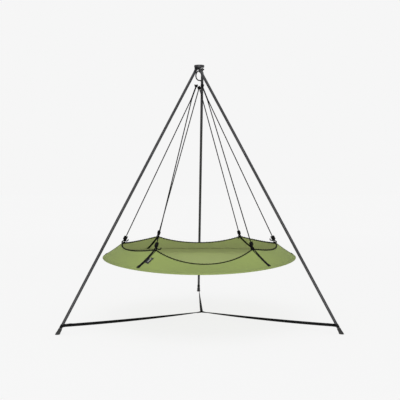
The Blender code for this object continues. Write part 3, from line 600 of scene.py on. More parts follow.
mouth = -(leg_length - foot_length)
bore = tube_radius + foot_slack
rings = [(bore * 0.3, -(tube_end + touch_gap)), (bore, -(tube_end + touch_gap)), (bore, mouth)]
rings += [(foot_radius - foot_ring_height, mouth)]
for number in range(foot_rings):
    low = mouth - foot_ring_pitch * (number + 0.35)
    rings += [(foot_radius, low), (foot_radius, low - foot_ring_pitch * 0.4)]
    rings += [(foot_radius - foot_ring_height, low - foot_ring_pitch * 0.55)]
rings += [(foot_radius, mouth - foot_length * share) for share in (0.4, 0.55)]
rings += [(foot_radius + foot_flare, mouth - foot_length * 0.83)]
rings += [(foot_radius + foot_flare, -leg_length - foot_spare), (foot_radius * 0.3, -leg_length - foot_spare)]
pattern = draw_out(rings, 48)
for side in sides:
    foot = settle(copy_of(pattern), f"rubber_foot_{side}", leg_place(side))
    open_edit(foot)
    bpy.ops.mesh.bisect(plane_co=(0, 0, 0), plane_no=(0, 0, -1), use_fill=True, clear_outer=True)
    bpy.ops.object.mode_set(mode="OBJECT")
    settle(soften(foot, foot_round, 2, 50), foot.name)
    dress(foot, moulded_rubber, "foot_rubber", f"leg_{side}", f"foot_{side}")
bpy.data.objects.remove(pattern)


# Floor straps: 25 mm polypropylene webbing, one to a leg, so that the legs can't slide apart. Each is sewn
# round a side of the steel ring in the middle, lies flat there, twists on its way and grips its leg on edge.
webbing_width = 0.025
webbing_thickness = 0.0018
strap_height = 0.068  # at the legs
strap_tail = 0.045
strap_pinch = 0.035
strap_sag = 0.008
strap_stations = 60
strap_flat_end = 0.02
strap_twist_power = 0.72
strap_twist_ways = {"left": -1, "right": 1, "back": 1}
ring_rod_radius = 0.0025
ring_straight = 0.028
ring_corner = 0.006
ring_aside = 0.022  # the straps meet a little to the right of the stand's axis
slide_gap = 0.0004
bead_sides = 6
bead_profile = ((-0.5, 0.35), (-0.3, 1.0), (0.3, 1.0), (0.5, 0.35))  # shares of a stitch's length and radius
bead_flatness = 0.8
floor_stitch = (0.0045, 0.0022, 0.0006)  # a stitch's length, the gap after it and the thread's radius
web_round_share = 0.35  # of a web's thickness

ring_low, ring_high = (Vector(corner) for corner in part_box("strap_ring"))
ring_height = (ring_low.z + ring_high.z) / 2
ring_side = ring_straight / 2 / math.tan(math.radians(60)) + ring_corner

# Woven polypropylene: a narrow twill of flat black yarn with a dull sheen. The yarns are 1.6 mm apart, and
# the twill runs as chevrons from the middle of the web to its two edges.
yarn_mm = 1.6
webbing = Finish("woven_webbing", "#070707", 0.75)
axes = add(webbing.tree, "ShaderNodeSeparateXYZ", {0: webbing.weave}).outputs
slant = webbing.maths("ADD", axes["X"], webbing.maths("ABSOLUTE", axes["Y"]))
ridges = webbing.maths("MULTIPLY", slant, math.tau * 1000 / yarn_mm)
webbing.yarns(webbing.maths("SINE", ridges), 0.0002, 0.7, "#0b0b0c")
webbing.set("Specular IOR Level", 0.1)

# Bonded nylon thread: smooth, round and slightly brighter than the web it is sewn through
sewing_thread = Finish("bonded_thread", "#0e0e0f", 0.5)
sewing_thread.set("Specular IOR Level", 0.2)
sewing_thread.twist(900)


def new_mesh(name, corners, faces):
    """A new piece of these corners and faces."""
    mesh = bpy.data.meshes.new(name)
    mesh.from_pydata(corners, [], faces)
    return new_object(name, mesh)


def give_thickness(piece, thickness):
    solid = piece.modifiers.new("thickness", "SOLIDIFY")
    solid.thickness = thickness
    solid.offset = 0
    return piece


def web_strip(middles, across, thickness):
    """A strip of webbing, its UV map in metres along it and out from its middle."""
    left = [m + a for m, a in zip(middles, across)]
    right = [m - a for m, a in zip(middles, across)]
    count = len(middles)
    corners = [*left, *[(a + b) / 2 for a, b in zip(left, right)], *right]
    faces = [
        (k * count + i, k * count + i + 1, (k + 1) * count + i + 1, (k + 1) * count + i)
        for k in (0, 1)
        for i in range(count - 1)
    ]
    piece = new_mesh("web", corners, faces)
    travel = travelled(middles)
    uv = piece.data.uv_layers.new(name="weave")
    for loop in piece.data.loops:
        column, station = divmod(loop.vertex_index, count)
        uv.data[loop.index].uv = (travel[station], webbing_width / 2 * (1 - column))
    return soften(give_thickness(piece, thickness), thickness * web_round_share, 2, 60)


def stitches(lines, length, gap, radius):
    """Rows of thread along lines of (start, end, outward): each stitch is a flattened bead."""
    corners = []
    faces = []
    for start, end, outward in lines:
        run = end - start
        count = max(1, round(run.length / (length + gap)))
        along = run.normalized()
        beside = along.cross(outward).normalized()
        for i in range(count):
            middle = start + run / count * (i + 0.5)
            base = len(corners)
            for share, size in bead_profile:
                for turn in range(bead_sides):
                    angle = math.tau * turn / bead_sides
                    rim = outward * math.sin(angle) * bead_flatness + beside * math.cos(angle)
                    corners.append(middle + along * length * share + rim * radius * size)
            last = len(corners) - bead_sides
            for ring in range(base, last, bead_sides):
                pairs = [(ring + k, ring + (k + 1) % bead_sides) for k in range(bead_sides)]
                faces += [(a, b, b + bead_sides, a + bead_sides) for a, b in pairs]
            faces += [tuple(range(base + bead_sides - 1, base - 1, -1)), tuple(range(last, len(corners)))]
    return new_mesh("stitches", corners, faces)


def box_stitch(middle, along, beside, outward, length, width):
    """The lines of a sewn box with a cross in it."""
    far = along * length / 2
    wide = beside * width / 2
    spots = [middle - far - wide, middle + far - wide, middle + far + wide, middle - far + wide]
    rim = [(spots[i], spots[(i + 1) % 4], outward) for i in range(4)]
    return [*rim, (spots[0], spots[2], outward), (spots[1], spots[3], outward)]


def floor_strap(side):
    """A strap's strip, its stitching and the ends of its free run, made in its leg's plane turned to +X."""
    joint = joints[f"leg_{side}_fold"]
    pin = Vector(joint["axis"])
    turn = Matrix.Rotation(math.atan2(-pin.x, pin.y), 4, "Z")
    centre = on_axis @ turn
    hinge = centre.inverted() @ Vector(joint["pos_m"])
    lean = math.acos(leg_steepness)
    leg_middle = Vector((hinge.x + math.tan(lean) * (hinge.z - strap_height), hinge.y, strap_height))
    loop_aside = tube_radius + slide_gap + webbing_thickness / 2
    loop_along = (tube_radius + slide_gap) / leg_steepness + webbing_thickness / 2
    fold = ring_rod_radius + slide_gap + webbing_thickness / 2
    flat_side = Vector((0, webbing_width / 2 * strap_twist_ways[side], 0))
    on_edge = Vector((math.sin(lean), 0, -leg_steepness)) * (-webbing_width / 2 / leg_steepness)
    under = Vector((0, 0, -webbing_thickness - touch_gap))
    ring_middle = Vector((ring_side, 0, ring_height)) + turn.inverted() @ Vector((ring_aside, 0, 0))
    middles = [ring_middle + Vector((strap_tail * share, 0, 0)) + under for share in (1, 0.75, 0.5)]
    for degrees in range(-60, -301, -15):
        outwards, up = circle(degrees)
        middles.append(ring_middle + Vector((fold * outwards, 0, fold * up)))
    across = [flat_side] * len(middles)
    run_start = ring_middle + Vector((strap_tail * 0.5, 0, 0))
    run_end = leg_middle - Vector((strap_pinch, 0, 0))
    for share in shares(strap_stations):
        twist = max(0, (share - strap_flat_end) / (1 - strap_flat_end)) ** strap_twist_power
        middles.append(run_start.lerp(run_end, share) - Vector((0, 0, strap_sag * 4 * share * (1 - share))))
        facing = flat_side.normalized() * math.cos(twist * math.pi / 2)
        facing += on_edge.normalized() * math.sin(twist * math.pi / 2)
        half_width = webbing_width / 2 * (1 + (1 / leg_steepness - 1) * twist)
        across.append(facing.normalized() * half_width)
    for degrees in range(150, -151, -12):
        outwards, aside = circle(degrees)
        middles.append(leg_middle + Vector((loop_along * outwards, loop_aside * aside, 0)))
    tail_aside = webbing_thickness + 2 * touch_gap
    for back in (strap_pinch * 0.75, strap_pinch, strap_pinch + strap_tail * 0.5, strap_pinch + strap_tail):
        middles.append(leg_middle - Vector((back, tail_aside, 0)))
    across += [on_edge] * (len(middles) - len(across))
    strip = web_strip([centre @ m for m in middles], [turn @ a for a in across], webbing_thickness)
    run = (run_end - run_start).normalized()
    flat_spot = ring_middle + Vector((strap_tail * 0.6, 0, webbing_thickness / 2))
    edge_spot = run_end - run * strap_tail * 0.5 + Vector((0, -tail_aside - webbing_thickness / 2, 0))
    beside = Vector((0, 1, 0))
    lines = box_stitch(flat_spot, run, beside, Vector((0, 0, 1)), strap_tail * 0.5, webbing_width * 0.7)
    lines += box_stitch(edge_spot, run, on_edge.normalized(), -beside, strap_tail * 0.8, webbing_width * 0.7)
    sewn = stitches([(centre @ a, centre @ b, turn @ n) for a, b, n in lines], *floor_stitch)
    return strip, sewn, centre @ run_start, centre @ (run_end - run * strap_tail)


for side in sides:
    strip, sewn, start, end = floor_strap(side)
    settle(strip, f"floor_webbing_{side}").data.materials.append(webbing.material)
    settle(sewn, f"floor_webbing_thread_{side}").data.materials.append(sewing_thread.material)
    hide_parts(f"floor_strap_{side}")
    for piece in (strip, sewn):
        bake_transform(piece)


# Strap ring: a rounded triangle of 5 mm welded steel wire, black plated, with one straight side for each
# strap. It hangs between the three straps a little above the floor.
ring_corner_steps = 12
reach = ring_straight / 2 / math.sin(math.radians(60))
ring_line = []
for side in sides:
    pin = joints[f"leg_{side}_fold"]["axis"]
    corner = math.degrees(math.atan2(-pin[0], pin[1])) + 60
    across, away = circle(corner)
    middle = Vector((reach * across + ring_aside, reach * away + axis_y, ring_height))
    for share in shares(ring_corner_steps):
        turn = corner + 120 * (share - 0.5)
        ring_line.append(middle + Vector((*circle(turn), 0)) * ring_corner)
ring = settle(rod_along(ring_line, ring_rod_radius, 16, closed=True), "welded_strap_ring")
dress(ring, black_zinc, "black_steel", "stand_head", "strap_ring")


# Ring poles: four curved lengths of black fibreglass rod that hold the pod round, hidden in the sleeve at its
# rim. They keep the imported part's shape, with the long drawn grain of pultruded rod.
pole_fibre = Finish("pultruded_fibreglass", "#1a1a1a", 0.38)
pole_fibre.tint(pole_fibre.noise(320, 3), "#121212", "#262626")
for name in ("front_left", "front_right", "back_right", "back_left"):
    finish_node(f"ring_pole_{name}", pole_fibre)


# Pod canvas: a tapered collar, a shallow dish and the poles' sleeve, cut from sage green cotton-polyester
# canvas and sewn together round the ring of poles, which pulls them taut. The hem hangs in six curves.
pod_radius = 0.900
hem_radius = 0.712
hem_bow = 0.016
hem_rise = 0.129  # from the rim up to the hem points
hem_sags = {0: 0.030, 54: 0.080, 126: 0.030, 180: 0.030, 238: 0.108, 310: 0.030}  # from each point on
hem_rope_radius = 0.0045
canvas_thickness = 0.0011
pole_radius = 0.0055
pole_inset = 0.0081  # from the pod's radius in to the poles' middle
rim_droop = 0.037  # the rim hangs lower in front and behind than at the sides
sleeve_radius = 0.0068
roll_radius = 0.0066
dish_sag = 0.115
collar_columns = 360
collar_rows = 18
dish_rings = 30
dish_spread = 0.9  # below 1, the dish's rings lie further apart towards the rim
collar_sink = 0.004  # how far the taut collar draws in between its two edges
tension_fold = 0.0016  # height of the folds that run down from a hem point
tension_spread = 7.0  # degrees either side of a hem point
tension_start = 0.35  # the share of that spread that a fold has at the hem itself
tension_ripple = 1.5  # half waves across a fold's spread
tension_fade = 1.5  # how fast a fold dies out down the collar
flat_margin = 0.02  # the dish's weave is laid flat up to this far from the rim
hem_azimuths = {
    "left": 180,
    "front_left": 238,
    "front_right": 310,
    "right": 0,
    "back_right": 54,
    "back_left": 126,
}

rim_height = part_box("ring_pole_front_left")[1][2] - pole_radius
hem_height = rim_height + hem_rise
pole_circle_radius = pod_radius - pole_inset
axis_foot = Vector((0, axis_y, 0))

# Cotton-polyester canvas, piece-dyed sage green: dull and even, a touch faded in clouds, and thin enough that
# the studio's light glows through it. Threads 0.6 mm apart are too fine to render and are drawn 3 mm apart.
thread_mm = 3.0
see_through = 0.45
canvas = Finish("sage_canvas", "#8c9b5e", 0.9)
wave_scale = 1000 * math.tau / 20 / thread_mm
warp = canvas.ribs(canvas.weave, wave_scale, "X")
weft = canvas.ribs(canvas.weave, wave_scale, "Y")
slub = canvas.noise(220, 3, Vector=canvas.weave)
height = canvas.maths("ADD", canvas.maths("MULTIPLY", warp, weft), slub)
relief = canvas.emboss(height, 0.0003, 0.35)
fade = canvas.noise(2.6, 4, Roughness=0.55)
canvas.tint(canvas.maths("MULTIPLY_ADD", fade, height, 0.1), "#869559", "#93a163")
canvas.set("Sheen Weight", 0.08)
canvas.set("Sheen Roughness", 0.6)
canvas.set("Specular IOR Level", 0.2)
glow = add(canvas.tree, "ShaderNodeBsdfTranslucent", {"Color": paint("#ecf0ca"), "Normal": relief})
layers = {0: see_through, 1: canvas.shader.outputs[0], 2: glow.outputs[0]}
thin = add(canvas.tree, "ShaderNodeMixShader", layers)
canvas.tree.links.new(thin.outputs[0], canvas.tree.nodes["Material Output"].inputs["Surface"])


def polar(radius, azimuth, height):
    """A point at a radius and azimuth in degrees round the stand's upright axis."""
    across, away = circle(azimuth)
    return Vector((radius * across, axis_y + radius * away, height))


def from_nearest_knot(azimuth):
    """Degrees round the pod to the nearest hem point."""
    return min(abs((azimuth - knot + 180) % 360 - 180) for knot in hem_azimuths.values())


def hem_at(azimuth):
    """The hem's radius and height: highest at the six hem points, hanging in a curve between each two."""
    knots = sorted(hem_azimuths.values())
    azimuth %= 360
    low = max(k for k in knots if k <= azimuth)
    high = min([k for k in knots if k > azimuth], default=360)
    share = 1 - ((azimuth - (low + high) / 2) / ((high - low) / 2)) ** 2
    return Vector((hem_radius + hem_bow * share, hem_height - hem_sags[low] * share))


def by_pole(azimuth, radius, degrees):
    """The radius and height of a point round the pole, in degrees from its outer side."""
    pole = Vector((pole_circle_radius, rim_height - rim_droop * circle(azimuth)[1] ** 2))
    return pole + radius * Vector(circle(degrees))


def collar_axes(azimuth):
    """At an azimuth, in (radius, height): the hem, the way down the collar, the way out and its length."""
    hem = hem_at(azimuth)
    run = by_pole(azimuth, sleeve_radius, 90) - hem
    down = run.normalized()
    return hem, down, Vector((-down.y, down.x)), run.length


def by_hem(azimuth, radius, degrees):
    """The radius and height of a point round the hem rope, in degrees from its outer side over its top."""
    hem, down, out, _ = collar_axes(azimuth)
    outwards, up = circle(degrees)
    return hem + radius * (out * outwards - down * up)


def collar_lift(azimuth, share):
    """How far a share of the way down the collar stands out: small folds fan down from a hem point, and the
    whole is drawn in between its two edges."""
    away = from_nearest_knot(azimuth) / (tension_spread * (tension_start + share))
    wave = math.cos(away * math.pi * tension_ripple) * math.exp(-(away**2))
    return tension_fold * wave * (1 - share) ** tension_fade - collar_sink * math.sin(math.pi * share)


def collar_section(azimuth):
    """From the casing round the hem rope's inner side, down the collar, and round the outside of the pole."""
    hem, down, out, length = collar_axes(azimuth)
    wrap = hem_rope_radius + canvas_thickness
    section = [by_hem(azimuth, wrap, degrees) for degrees in (175, 210, 240)]
    for i in range(collar_rows):
        share = (i + 0.6) / collar_rows
        section.append(hem + down * (wrap + (length - wrap) * share) + out * collar_lift(azimuth, share))
    return section + [by_pole(azimuth, sleeve_radius, degrees) for degrees in range(75, -136, -15)]


def dish_section(azimuth):
    """From the seam on top of the sleeve, tucked under the collar, in across the dish."""
    section = [by_pole(azimuth, roll_radius, degrees) for degrees in (80, 89, 98)]
    edge = section[-1]
    middle_height = rim_height - dish_sag - roll_radius / math.sqrt(2)
    for i in range(1, dish_rings):
        share = 1 - (i / dish_rings) ** dish_spread
        section.append(Vector((edge.x * share, middle_height + (edge.y - middle_height) * share**2)))
    return section


def sleeve_section(azimuth):
    """From the seam under the dish, down the inner side of the poles and under them to the collar's edge."""
    return [by_pole(azimuth, roll_radius, degrees) for degrees in range(110, 226, 10)]


def canvas_loft(section_at, columns):
    """Canvas lofted right round the pod, its UV map in metres round the rim and down the section."""
    sections = [section_at(360 * i / columns) for i in range(columns)]
    count = len(sections[0])
    corners = [polar(p.x, 360 * i / columns, p.y) for i, section in enumerate(sections) for p in section]
    faces = []
    for i in range(columns):
        here, there = i * count, (i + 1) % columns * count
        faces += [(here + k, there + k, there + k + 1, here + k + 1) for k in range(count - 1)]
    piece = new_mesh("canvas", corners, faces)
    mesh = piece.data
    travel = travelled(sections[0])
    uv = mesh.uv_layers.new(name="weave")
    for face, polygon in enumerate(mesh.polygons):
        column = face // (count - 1)
        for loop in polygon.loop_indices:
            station, row = divmod(mesh.loops[loop].vertex_index, count)
            if station == 0 and column == columns - 1:
                station = columns
            uv.data[loop].uv = (station / columns * math.tau * pod_radius, travel[row])
    return piece


def from_axis(spot):
    """How far a point lies from the stand's upright axis."""
    return (spot - axis_foot).xy.length


def hang(piece, name, finish, slot, *replaced):
    """Settles a soft piece and dresses it to move with the pod."""
    return dress(settle(piece, name, smooth=60), finish, slot, "pod", *replaced)


collar = canvas_loft(collar_section, collar_columns)
hang(give_thickness(collar, canvas_thickness), "canvas_collar", canvas, "canvas", "pod_collar")

dish = canvas_loft(dish_section, collar_columns // 2)
open_edit(dish)
bpy.ops.mesh.select_all(action="DESELECT")
for edge in bmesh.from_edit_mesh(dish.data).edges:
    edge.select_set(edge.is_boundary and from_axis(edge.verts[0].co) < pod_radius / 2)
bmesh.update_edit_mesh(dish.data)
bpy.ops.mesh.edge_face_add()
bpy.ops.mesh.poke()
close_edit()
for loop in dish.data.loops:
    spot = dish.data.vertices[loop.vertex_index].co
    if from_axis(spot) < pod_radius - flat_margin:
        dish.data.uv_layers[0].data[loop.index].uv = (spot.x, spot.y)
hang(give_thickness(dish, canvas_thickness), "canvas_dish", canvas, "canvas", "pod_floor")

sleeve = give_thickness(canvas_loft(sleeve_section, collar_columns // 2), canvas_thickness)
hang(sleeve, "canvas_sleeve", canvas, "canvas")


# Hem rope: 9 mm braided polyester rope round the pod's mouth, black, half hidden on its inner side by the
# hem's casing. Whipping loops hold it to the canvas every few centimetres.
hem_columns = 480
whip_spacing = 0.030
whip_radius = 0.0012
whip_slant = 0.3  # degrees round the pod from the rope to a loop's end
whip_clear = 1.5  # degrees either side of a hem point that the whipping leaves free

# Braided polyester rope: a matt black round plait of sixteen strands, which cross as small diamonds
braid_pitch_mm = 9.0
strand_count = 8  # each way
braid = Finish("braided_polyester", "#070708", 0.8)
axes = add(braid.tree, "ShaderNodeSeparateXYZ", {0: braid.weave}).outputs
along = braid.maths("MULTIPLY", axes["X"], math.tau * 1000 / braid_pitch_mm)
around = braid.maths("MULTIPLY", axes["Y"], math.tau * strand_count)
rise, fall = (braid.maths("SINE", braid.maths(way, along, around)) for way in ("ADD", "SUBTRACT"))
braid.yarns(braid.maths("MULTIPLY", rise, fall), 0.0004, 0.6, "#0c0c0d")
braid.set("Specular IOR Level", 0.12)

hem_line = []
for i in range(hem_columns):
    azimuth = 360 * i / hem_columns
    hem = hem_at(azimuth)
    hem_line.append(polar(hem.x, azimuth, hem.y))
hang(rod_along(hem_line, hem_rope_radius, closed=True), "braided_hem_rope", braid, "rope", "hem_rope")

loops = []
whip_count = round(math.tau * hem_radius / whip_spacing)
for i in range(whip_count):
    azimuth = 360 * (i + 0.5) / whip_count
    if from_nearest_knot(azimuth) < whip_clear:
        continue
    hem, down, out, _ = collar_axes(azimuth)
    wrap = hem_rope_radius + canvas_thickness * 1.6 + whip_radius * 0.4
    line = []
    for degrees in range(-30, 211, 30):
        spot = by_hem(azimuth, wrap, degrees)
        line.append(polar(spot.x, azimuth + whip_slant * degrees / 270, spot.y))
    spot = hem + down * wrap * 2.2 - out * canvas_thickness
    line.append(polar(spot.x, azimuth + whip_slant, spot.y))
    loops.append(rod_along(line, whip_radius, 6))
hang(join(loops), "hem_whipping", sewing_thread, "rope")


# Canvas seams: a row of matching green thread under the hem's casing, and a double row where the collar is
# sewn to the sleeve of the poles.
seam_drops = {"hem_seam": (0.011,), "sleeve_seam": (-0.016, -0.010)}
seam_columns = 180
seam_stitch = (0.005, 0.003, 0.0005)
green_thread = Finish("green_thread", "#7f8d54", 0.6)
green_thread.emboss(green_thread.noise(800), 0.0001, 0.4)


def collar_spot(azimuth, drop):
    """A point on the collar's outer face, and the way out there: drop is from the hem, or up from the rim."""
    hem, down, out, length = collar_axes(azimuth)
    travel = drop if drop > 0 else length + drop
    lift = collar_lift(azimuth, travel / length) + canvas_thickness / 2
    spot = hem + down * travel + out * lift
    return polar(spot.x, azimuth, spot.y), (polar(out.x, azimuth, out.y) - axis_foot).normalized()


for name, drops in seam_drops.items():
    lines = []
    for drop in drops:
        spots = [collar_spot(360 * i / seam_columns, drop) for i in range(seam_columns + 1)]
        lines += [(a[0], b[0], a[1]) for a, b in zip(spots, spots[1:])]
    hang(stitches(lines, *seam_stitch), name, green_thread, "canvas")


# Pod straps: 28 mm black webbing folded over the hem at each hem point and sewn down both faces of the
# collar, where it takes the rope's pull. Its outer end is folded under and sewn as a thicker tab.
pod_strap_width = 0.028
pod_strap_thickness = 0.0014
pod_strap_gap = 0.0005
pod_strap_end = 0.012
pod_strap_inner_end = 0.010
pod_strap_bend = 0.012
pod_strap_steps = 10
pod_strap_rail = 0.38  # share of the width from the middle out to a row of stitches
pod_strap_stitch = (0.004, 0.002, 0.0005)
# degrees that a strap leans round the pod from the hem down to the rim
pod_strap_leans = {"front_left": -4.4, "front_right": 2.2, "back_right": -4, "back_left": 1}
tab_length = 0.024
tab_width = 0.034
tab_thickness = 0.0042
tab_steps = 4
tab_box = 0.8  # of the tab, that its sewn box takes up

strap_lift = canvas_thickness / 2 + pod_strap_gap + pod_strap_thickness / 2


def strap_spot(azimuth, lean, travel, aside, rise):
    """A point on or beside a pod strap's middle line, so far down from the hem and so high off the collar."""
    share = travel / collar_axes(azimuth)[3]
    radius = hem_radius + (pole_circle_radius - hem_radius) * share
    there = azimuth + lean * share + math.degrees(aside / radius)
    hem, down, out, length = collar_axes(there)
    beside = math.degrees(pod_strap_width / 2 / radius)
    lifts = [collar_lift(azimuth + lean * share + side * beside, share) for side in (-1, 0, 1)]
    rest = max(lifts) if rise > 0 else min(lifts)
    spot = hem + down * length * share + out * (rest + rise)
    return polar(spot.x, there, spot.y)


def strap_fold(azimuth, aside, degrees):
    """A point where a pod strap goes over the hem rope."""
    there = azimuth + math.degrees(aside / hem_radius)
    over = hem_rope_radius + canvas_thickness + pod_strap_gap + pod_strap_thickness / 2
    spot = by_hem(there, over, degrees)
    return polar(spot.x, there, spot.y)


for name, azimuth in hem_azimuths.items():
    lean = pod_strap_leans.get(name, 0)
    _, _, out, length = collar_axes(azimuth)
    tilt = math.atan(math.radians(lean) * pod_radius / length)
    half = pod_strap_width / 2 / math.cos(tilt)
    outer = length - pod_strap_end
    inner = length - pod_strap_inner_end
    downs = [outer + (pod_strap_bend - outer) * share for share in shares(pod_strap_steps)]
    ups = [pod_strap_bend + (inner - pod_strap_bend) * share for share in shares(pod_strap_steps)]
    edges = []
    for aside in (half, -half):
        edge = [strap_spot(azimuth, lean, travel, aside, strap_lift) for travel in downs]
        edge += [strap_fold(azimuth, aside, degrees) for degrees in range(0, 181, 20)]
        edges.append(edge + [strap_spot(azimuth, lean, travel, aside, -strap_lift) for travel in ups])
    middles = [(a + b) / 2 for a, b in zip(*edges)]
    strip = web_strip(middles, [(a - b) / 2 for a, b in zip(*edges)], pod_strap_thickness)
    outward = polar(out.x, azimuth + lean, out.y) - axis_foot
    tab_start = middles[0] + (middles[1] - middles[0]).normalized() * tab_length
    run = (middles[0] - tab_start).normalized()
    beside = outward.cross(run).normalized()
    tab_start += outward * pod_strap_thickness / 2
    tab_line = [tab_start + run * tab_length * share for share in shares(tab_steps)]
    tab = web_strip(tab_line, [beside * tab_width / 2] * len(tab_line), tab_thickness)
    box_middle = tab_line[tab_steps // 2] + outward * tab_thickness / 2
    lines = box_stitch(box_middle, run, beside, outward, tab_length * tab_box, tab_width * tab_box)
    for edge in (-1, 1):
        shift = beside * edge * pod_strap_width * pod_strap_rail + outward * pod_strap_thickness / 2
        rail = [middle + shift for middle in middles[3:pod_strap_steps]]
        lines += [(a, b, outward) for a, b in zip(rail, rail[1:])]
    dress(settle(strip, f"pod_webbing_{name}"), webbing, "webbing", "pod", f"pod_strap_{name}")
    dress(settle(tab, f"pod_webbing_tab_{name}"), webbing, "webbing", "pod")
    hang(stitches(lines, *pod_strap_stitch), f"pod_webbing_thread_{name}", sewing_thread, "webbing")


# Rope hitches: each pair of falls is one length of rope that takes two turns round the hook's lower bend. The
# two outer pairs then run down side by side and part at a small seizing, and the back pair parts at the hook.
rope_radius = 0.00475
hitch_spread = 61
hitch_steps = 72
hitch_turns = 2
hitch_half_width = 17  # degrees along the bend, so that the turns lie side by side
hitch_outer_radius = 0.0145
hitch_slack = 0.0010  # round the hook's rod, for the pod's rocking
leader_drop = 0.120
leader_sink = 0.0006
leader_rope_spacing = 0.0106
fall_slope = 0.5
fall_gap = 0.0016  # from a leader's end to the falls
groups = {  # each pair of hem points, and where its hitch sits on the lower bend, in degrees
    "left": (("left", "front_left"), -90 - hitch_spread),
    "centre": (("back_left", "back_right"), -90),
    "right": (("front_right", "right"), -90 + hitch_spread),
}
hem_corners = {name: polar(hem_radius, azimuth, hem_height) for name, azimuth in hem_azimuths.items()}
coil_radius = hook_rod_radius + rope_radius + hitch_slack


def smooth_line(points, per_span):
    """A Catmull-Rom curve through a given list of points."""
    found = []
    for i in range(len(points) - 1):
        a, b, c, d = (Vector(points[max(0, min(len(points) - 1, i + k))]) for k in (-1, 0, 1, 2))
        for n in range(per_span):
            t = n / per_span
            bend = (2 * a - 5 * b + 4 * c - d) * t**2 + (3 * b - a - 3 * c + d) * t**3
            found.append(0.5 * (2 * b + (c - a) * t + bend))
    found.append(Vector(points[-1]))
    return found


leaders = {}
fall_starts = {}
for name, (pair, degrees) in groups.items():
    one, other = (hem_corners[corner] for corner in pair)
    sideways = (other - one).normalized()
    middle = bend_point(lower_bend_middle, hook_lower_half_height, degrees)
    direction = ((one + other) / 2 - middle).normalized()
    if name == "centre":
        parting = middle - Vector((0, 0, hitch_outer_radius + rope_radius * fall_slope + touch_gap))
    else:
        top = middle + direction * (hitch_outer_radius + leader_sink)
        bottom = top + direction * leader_drop
        leaders[name] = (top, bottom, direction, sideways)
        parting = bottom + direction * fall_gap
    starts = [parting + sideways * sign * leader_rope_spacing / 2 for sign in (-1, 1)]
    fall_starts.update(zip(pair, starts))
    tops = starts if name == "centre" else [top + sideways * sign * rope_radius for sign in (-1, 1)]
    first, last = sorted(tops, key=lambda spot: spot.x)
    line = [first]
    for share in shares(hitch_steps):
        spot = degrees + hitch_half_width * (2 * share - 1)
        across, up = circle(spot)
        away = Vector((across / hook_half_width, 0, up / hook_lower_half_height)).normalized()
        angle = math.tau * hitch_turns * share
        round_rod = away * math.cos(angle) + Vector((0, 1, 0)) * math.sin(angle)
        line.append(bend_point(lower_bend_middle, hook_lower_half_height, spot) + coil_radius * round_rod)
    hitch = rod_along(smooth_line([*line, last], 2), rope_radius)
    hang(hitch, f"rope_hitch_{name}", braid, "rope", f"top_hitch_{name}")


# Leaders and falls: 9.5 mm braided rope in six lengths, all of them taut. Each outer pair lies side by side
# for the first 120 mm and is bound where it parts.
leader_steps = 10
seizing_turns = 6
seizing_steps = 20  # to a turn
seizing_radius = 0.0008
seizing_start = 0.004  # up from where the falls part
seizing_length = 0.010
knot_top = 0.0704  # from the hem up to where a fall enters its knot

for name, (top, bottom, direction, sideways) in leaders.items():
    level = direction.cross(sideways).normalized()
    strands = []
    for sign in (-1, 1):
        strand = []
        for share in shares(leader_steps):
            reach = rope_radius + (leader_rope_spacing / 2 - rope_radius) * share**2
            strand.append(top.lerp(bottom, share) + sideways * sign * reach)
        strands.append(rod_along(strand, rope_radius))
    line = []
    for share in shares(seizing_turns * seizing_steps):
        angle = math.tau * seizing_turns * share
        spot = bottom - direction * (seizing_start + seizing_length * share)
        wide = sideways * math.cos(angle) * (2 * rope_radius + seizing_radius)
        line.append(spot + wide + level * math.sin(angle) * (rope_radius + seizing_radius))
    leader = join([*strands, rod_along(line, seizing_radius, 8)])
    hang(leader, f"doubled_rope_{name}", braid, "rope", f"rope_leader_{name}")

for corner, start in fall_starts.items():
    hem = hem_corners[corner]
    end = hem + (start - hem).normalized() * knot_top
    fall = rod_along([start, start.lerp(end, 0.5), end], rope_radius)
    hang(fall, f"rope_fall_{corner}", braid, "rope", f"rope_{corner}")


# Knots: each fall goes round the hem rope, comes back up and is wound four times round itself, thickest in
# the middle, and its cut end is left as a short tail. Four tails curl sideways or hang in sight, and two have
# slipped over the hem to its far side.
coil_turns = 4
coil_steps = 12  # to a turn
coil_top = 0.0625
coil_bottom = 0.0265
coil_aside = 0.0099
coil_outward = 0.0134
coil_bulge = 0.0020
coil_tilt = 0.0018
pair_gap = 0.0048
loop_radius = 0.0133
tail_length = 0.040
tail_height = 0.024  # from the hem up to where the tails are measured from
tails = {  # shares of the tail's length: sideways, outwards, upwards
    "left": ((0.37, 0, -0.27), (0.66, 0, -0.26), (0.88, 0, -0.08), (0.80, 0, 0.22)),
    "front_left": ((0.30, 0, -0.36), (0.70, 0, -0.54), (1.06, 0, -0.48), (1.12, 0, -0.16)),
    "front_right": ((0.05, -0.32, -0.15), (0.08, -0.38, -0.45), (0.10, -0.36, -0.75), (0.12, -0.30, -1.00)),
    "right": ((0.30, 0, -0.16), (0.62, 0, -0.14), (0.88, 0, 0.03), (0.78, 0, 0.38)),
    "back_right": ((0.28, 0, -0.32), (0.36, 0, -0.72), (0.46, 0, -1.02), (0.56, 0, -1.28)),
    "back_left": ((0.05, 0.30, -0.10), (0.06, 0.43, -0.45), (0.06, 0.50, -0.85), (0.06, 0.55, -1.25)),
}

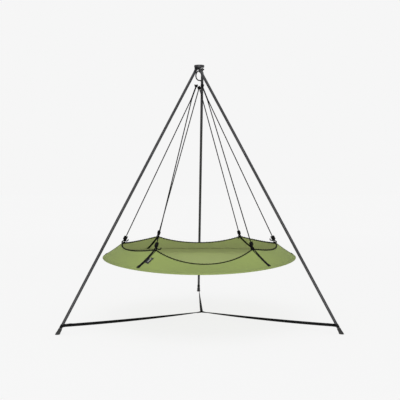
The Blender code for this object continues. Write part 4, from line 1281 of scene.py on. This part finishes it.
# The rope's path in one knot: sideways, outwards and upwards from the hem
loop = [(pair_gap, 0.0135), (loop_radius * 0.67, 0.010), (loop_radius, 0.001), (loop_radius * 0.6, -0.0095)]
knot_path = [(0, pair_gap * 0.5, knot_top - 0.003), (0, pair_gap, coil_top - 0.004)]
knot_path += [(0, wide, high) for wide, high in [(pair_gap, coil_bottom), *loop]]
knot_path += [(0, -wide, high) for wide, high in [*reversed(loop), (pair_gap, coil_bottom)]]
knot_path += [(0, -pair_gap, coil_top - 0.008)]
for share in shares(coil_turns * coil_steps):
    angle = math.tau * coil_turns * share - math.pi / 2
    height = coil_top + (coil_bottom - coil_top) * share + coil_tilt * math.cos(angle)
    bulge = coil_bulge * math.sin(math.pi * share)
    across = (coil_aside + bulge) * math.cos(angle)
    knot_path.append((across, (coil_outward + bulge / 2) * math.sin(angle), height))

for corner, start in fall_starts.items():
    hem = hem_corners[corner]
    up = (start - hem).normalized()
    radial = (hem - Vector((0, axis_y, hem.z))).normalized()
    aside = up.cross(radial).normalized()
    outward = aside.cross(up).normalized()
    inward = Vector((-1 if hem.x > 0 else 1, 0, 0))
    line = [hem + aside * a + outward * o + up * u for a, o, u in knot_path]
    tail_start = hem + up * tail_height
    line += [tail_start + (inward * a + outward * o + up * u) * tail_length for a, o, u in tails[corner]]
    hang(rod_along(smooth_line(line, 4), rope_radius), f"tied_knot_{corner}", braid, "rope", f"knot_{corner}")


# Side tag: a small blank woven label sewn flat beside the front left strap, black with a plain grey panel
tag_azimuth = 240.6  # at the hem: the tag leans with its strap
tag_width = 0.042
tag_length = 0.074
tag_drop = 0.083  # from the hem down to its upper end
tag_thickness = 0.0012
panel_margin = 0.015
tag_steps = 8

label = Finish("woven_label", "#0c0c0d", 0.7)
panel = Finish("grey_satin_panel", "#747672", 0.6)
for name, satin, margin, rise in (
    ("blank_tag", label, 0.0, 0.0),
    ("blank_tag_panel", panel, panel_margin, tag_thickness),
):
    satin.twist(500)
    middles = []
    for share in shares(tag_steps):
        drop = tag_drop + margin + (tag_length - 2 * margin) * share
        lean = pod_strap_leans["front_left"] * drop / collar_axes(tag_azimuth)[3]
        spot, out = collar_spot(tag_azimuth + lean, drop)
        middles.append(spot + out * (tag_thickness * 0.6 + rise * 0.8))
    beside = out.cross(middles[-1] - middles[0]).normalized()
    tag = web_strip(middles, [beside * (tag_width / 2 - margin)] * len(middles), tag_thickness)
    dress(settle(tag, name), satin, "webbing", "pod")


bpy.ops.object.select_all(action="DESELECT")
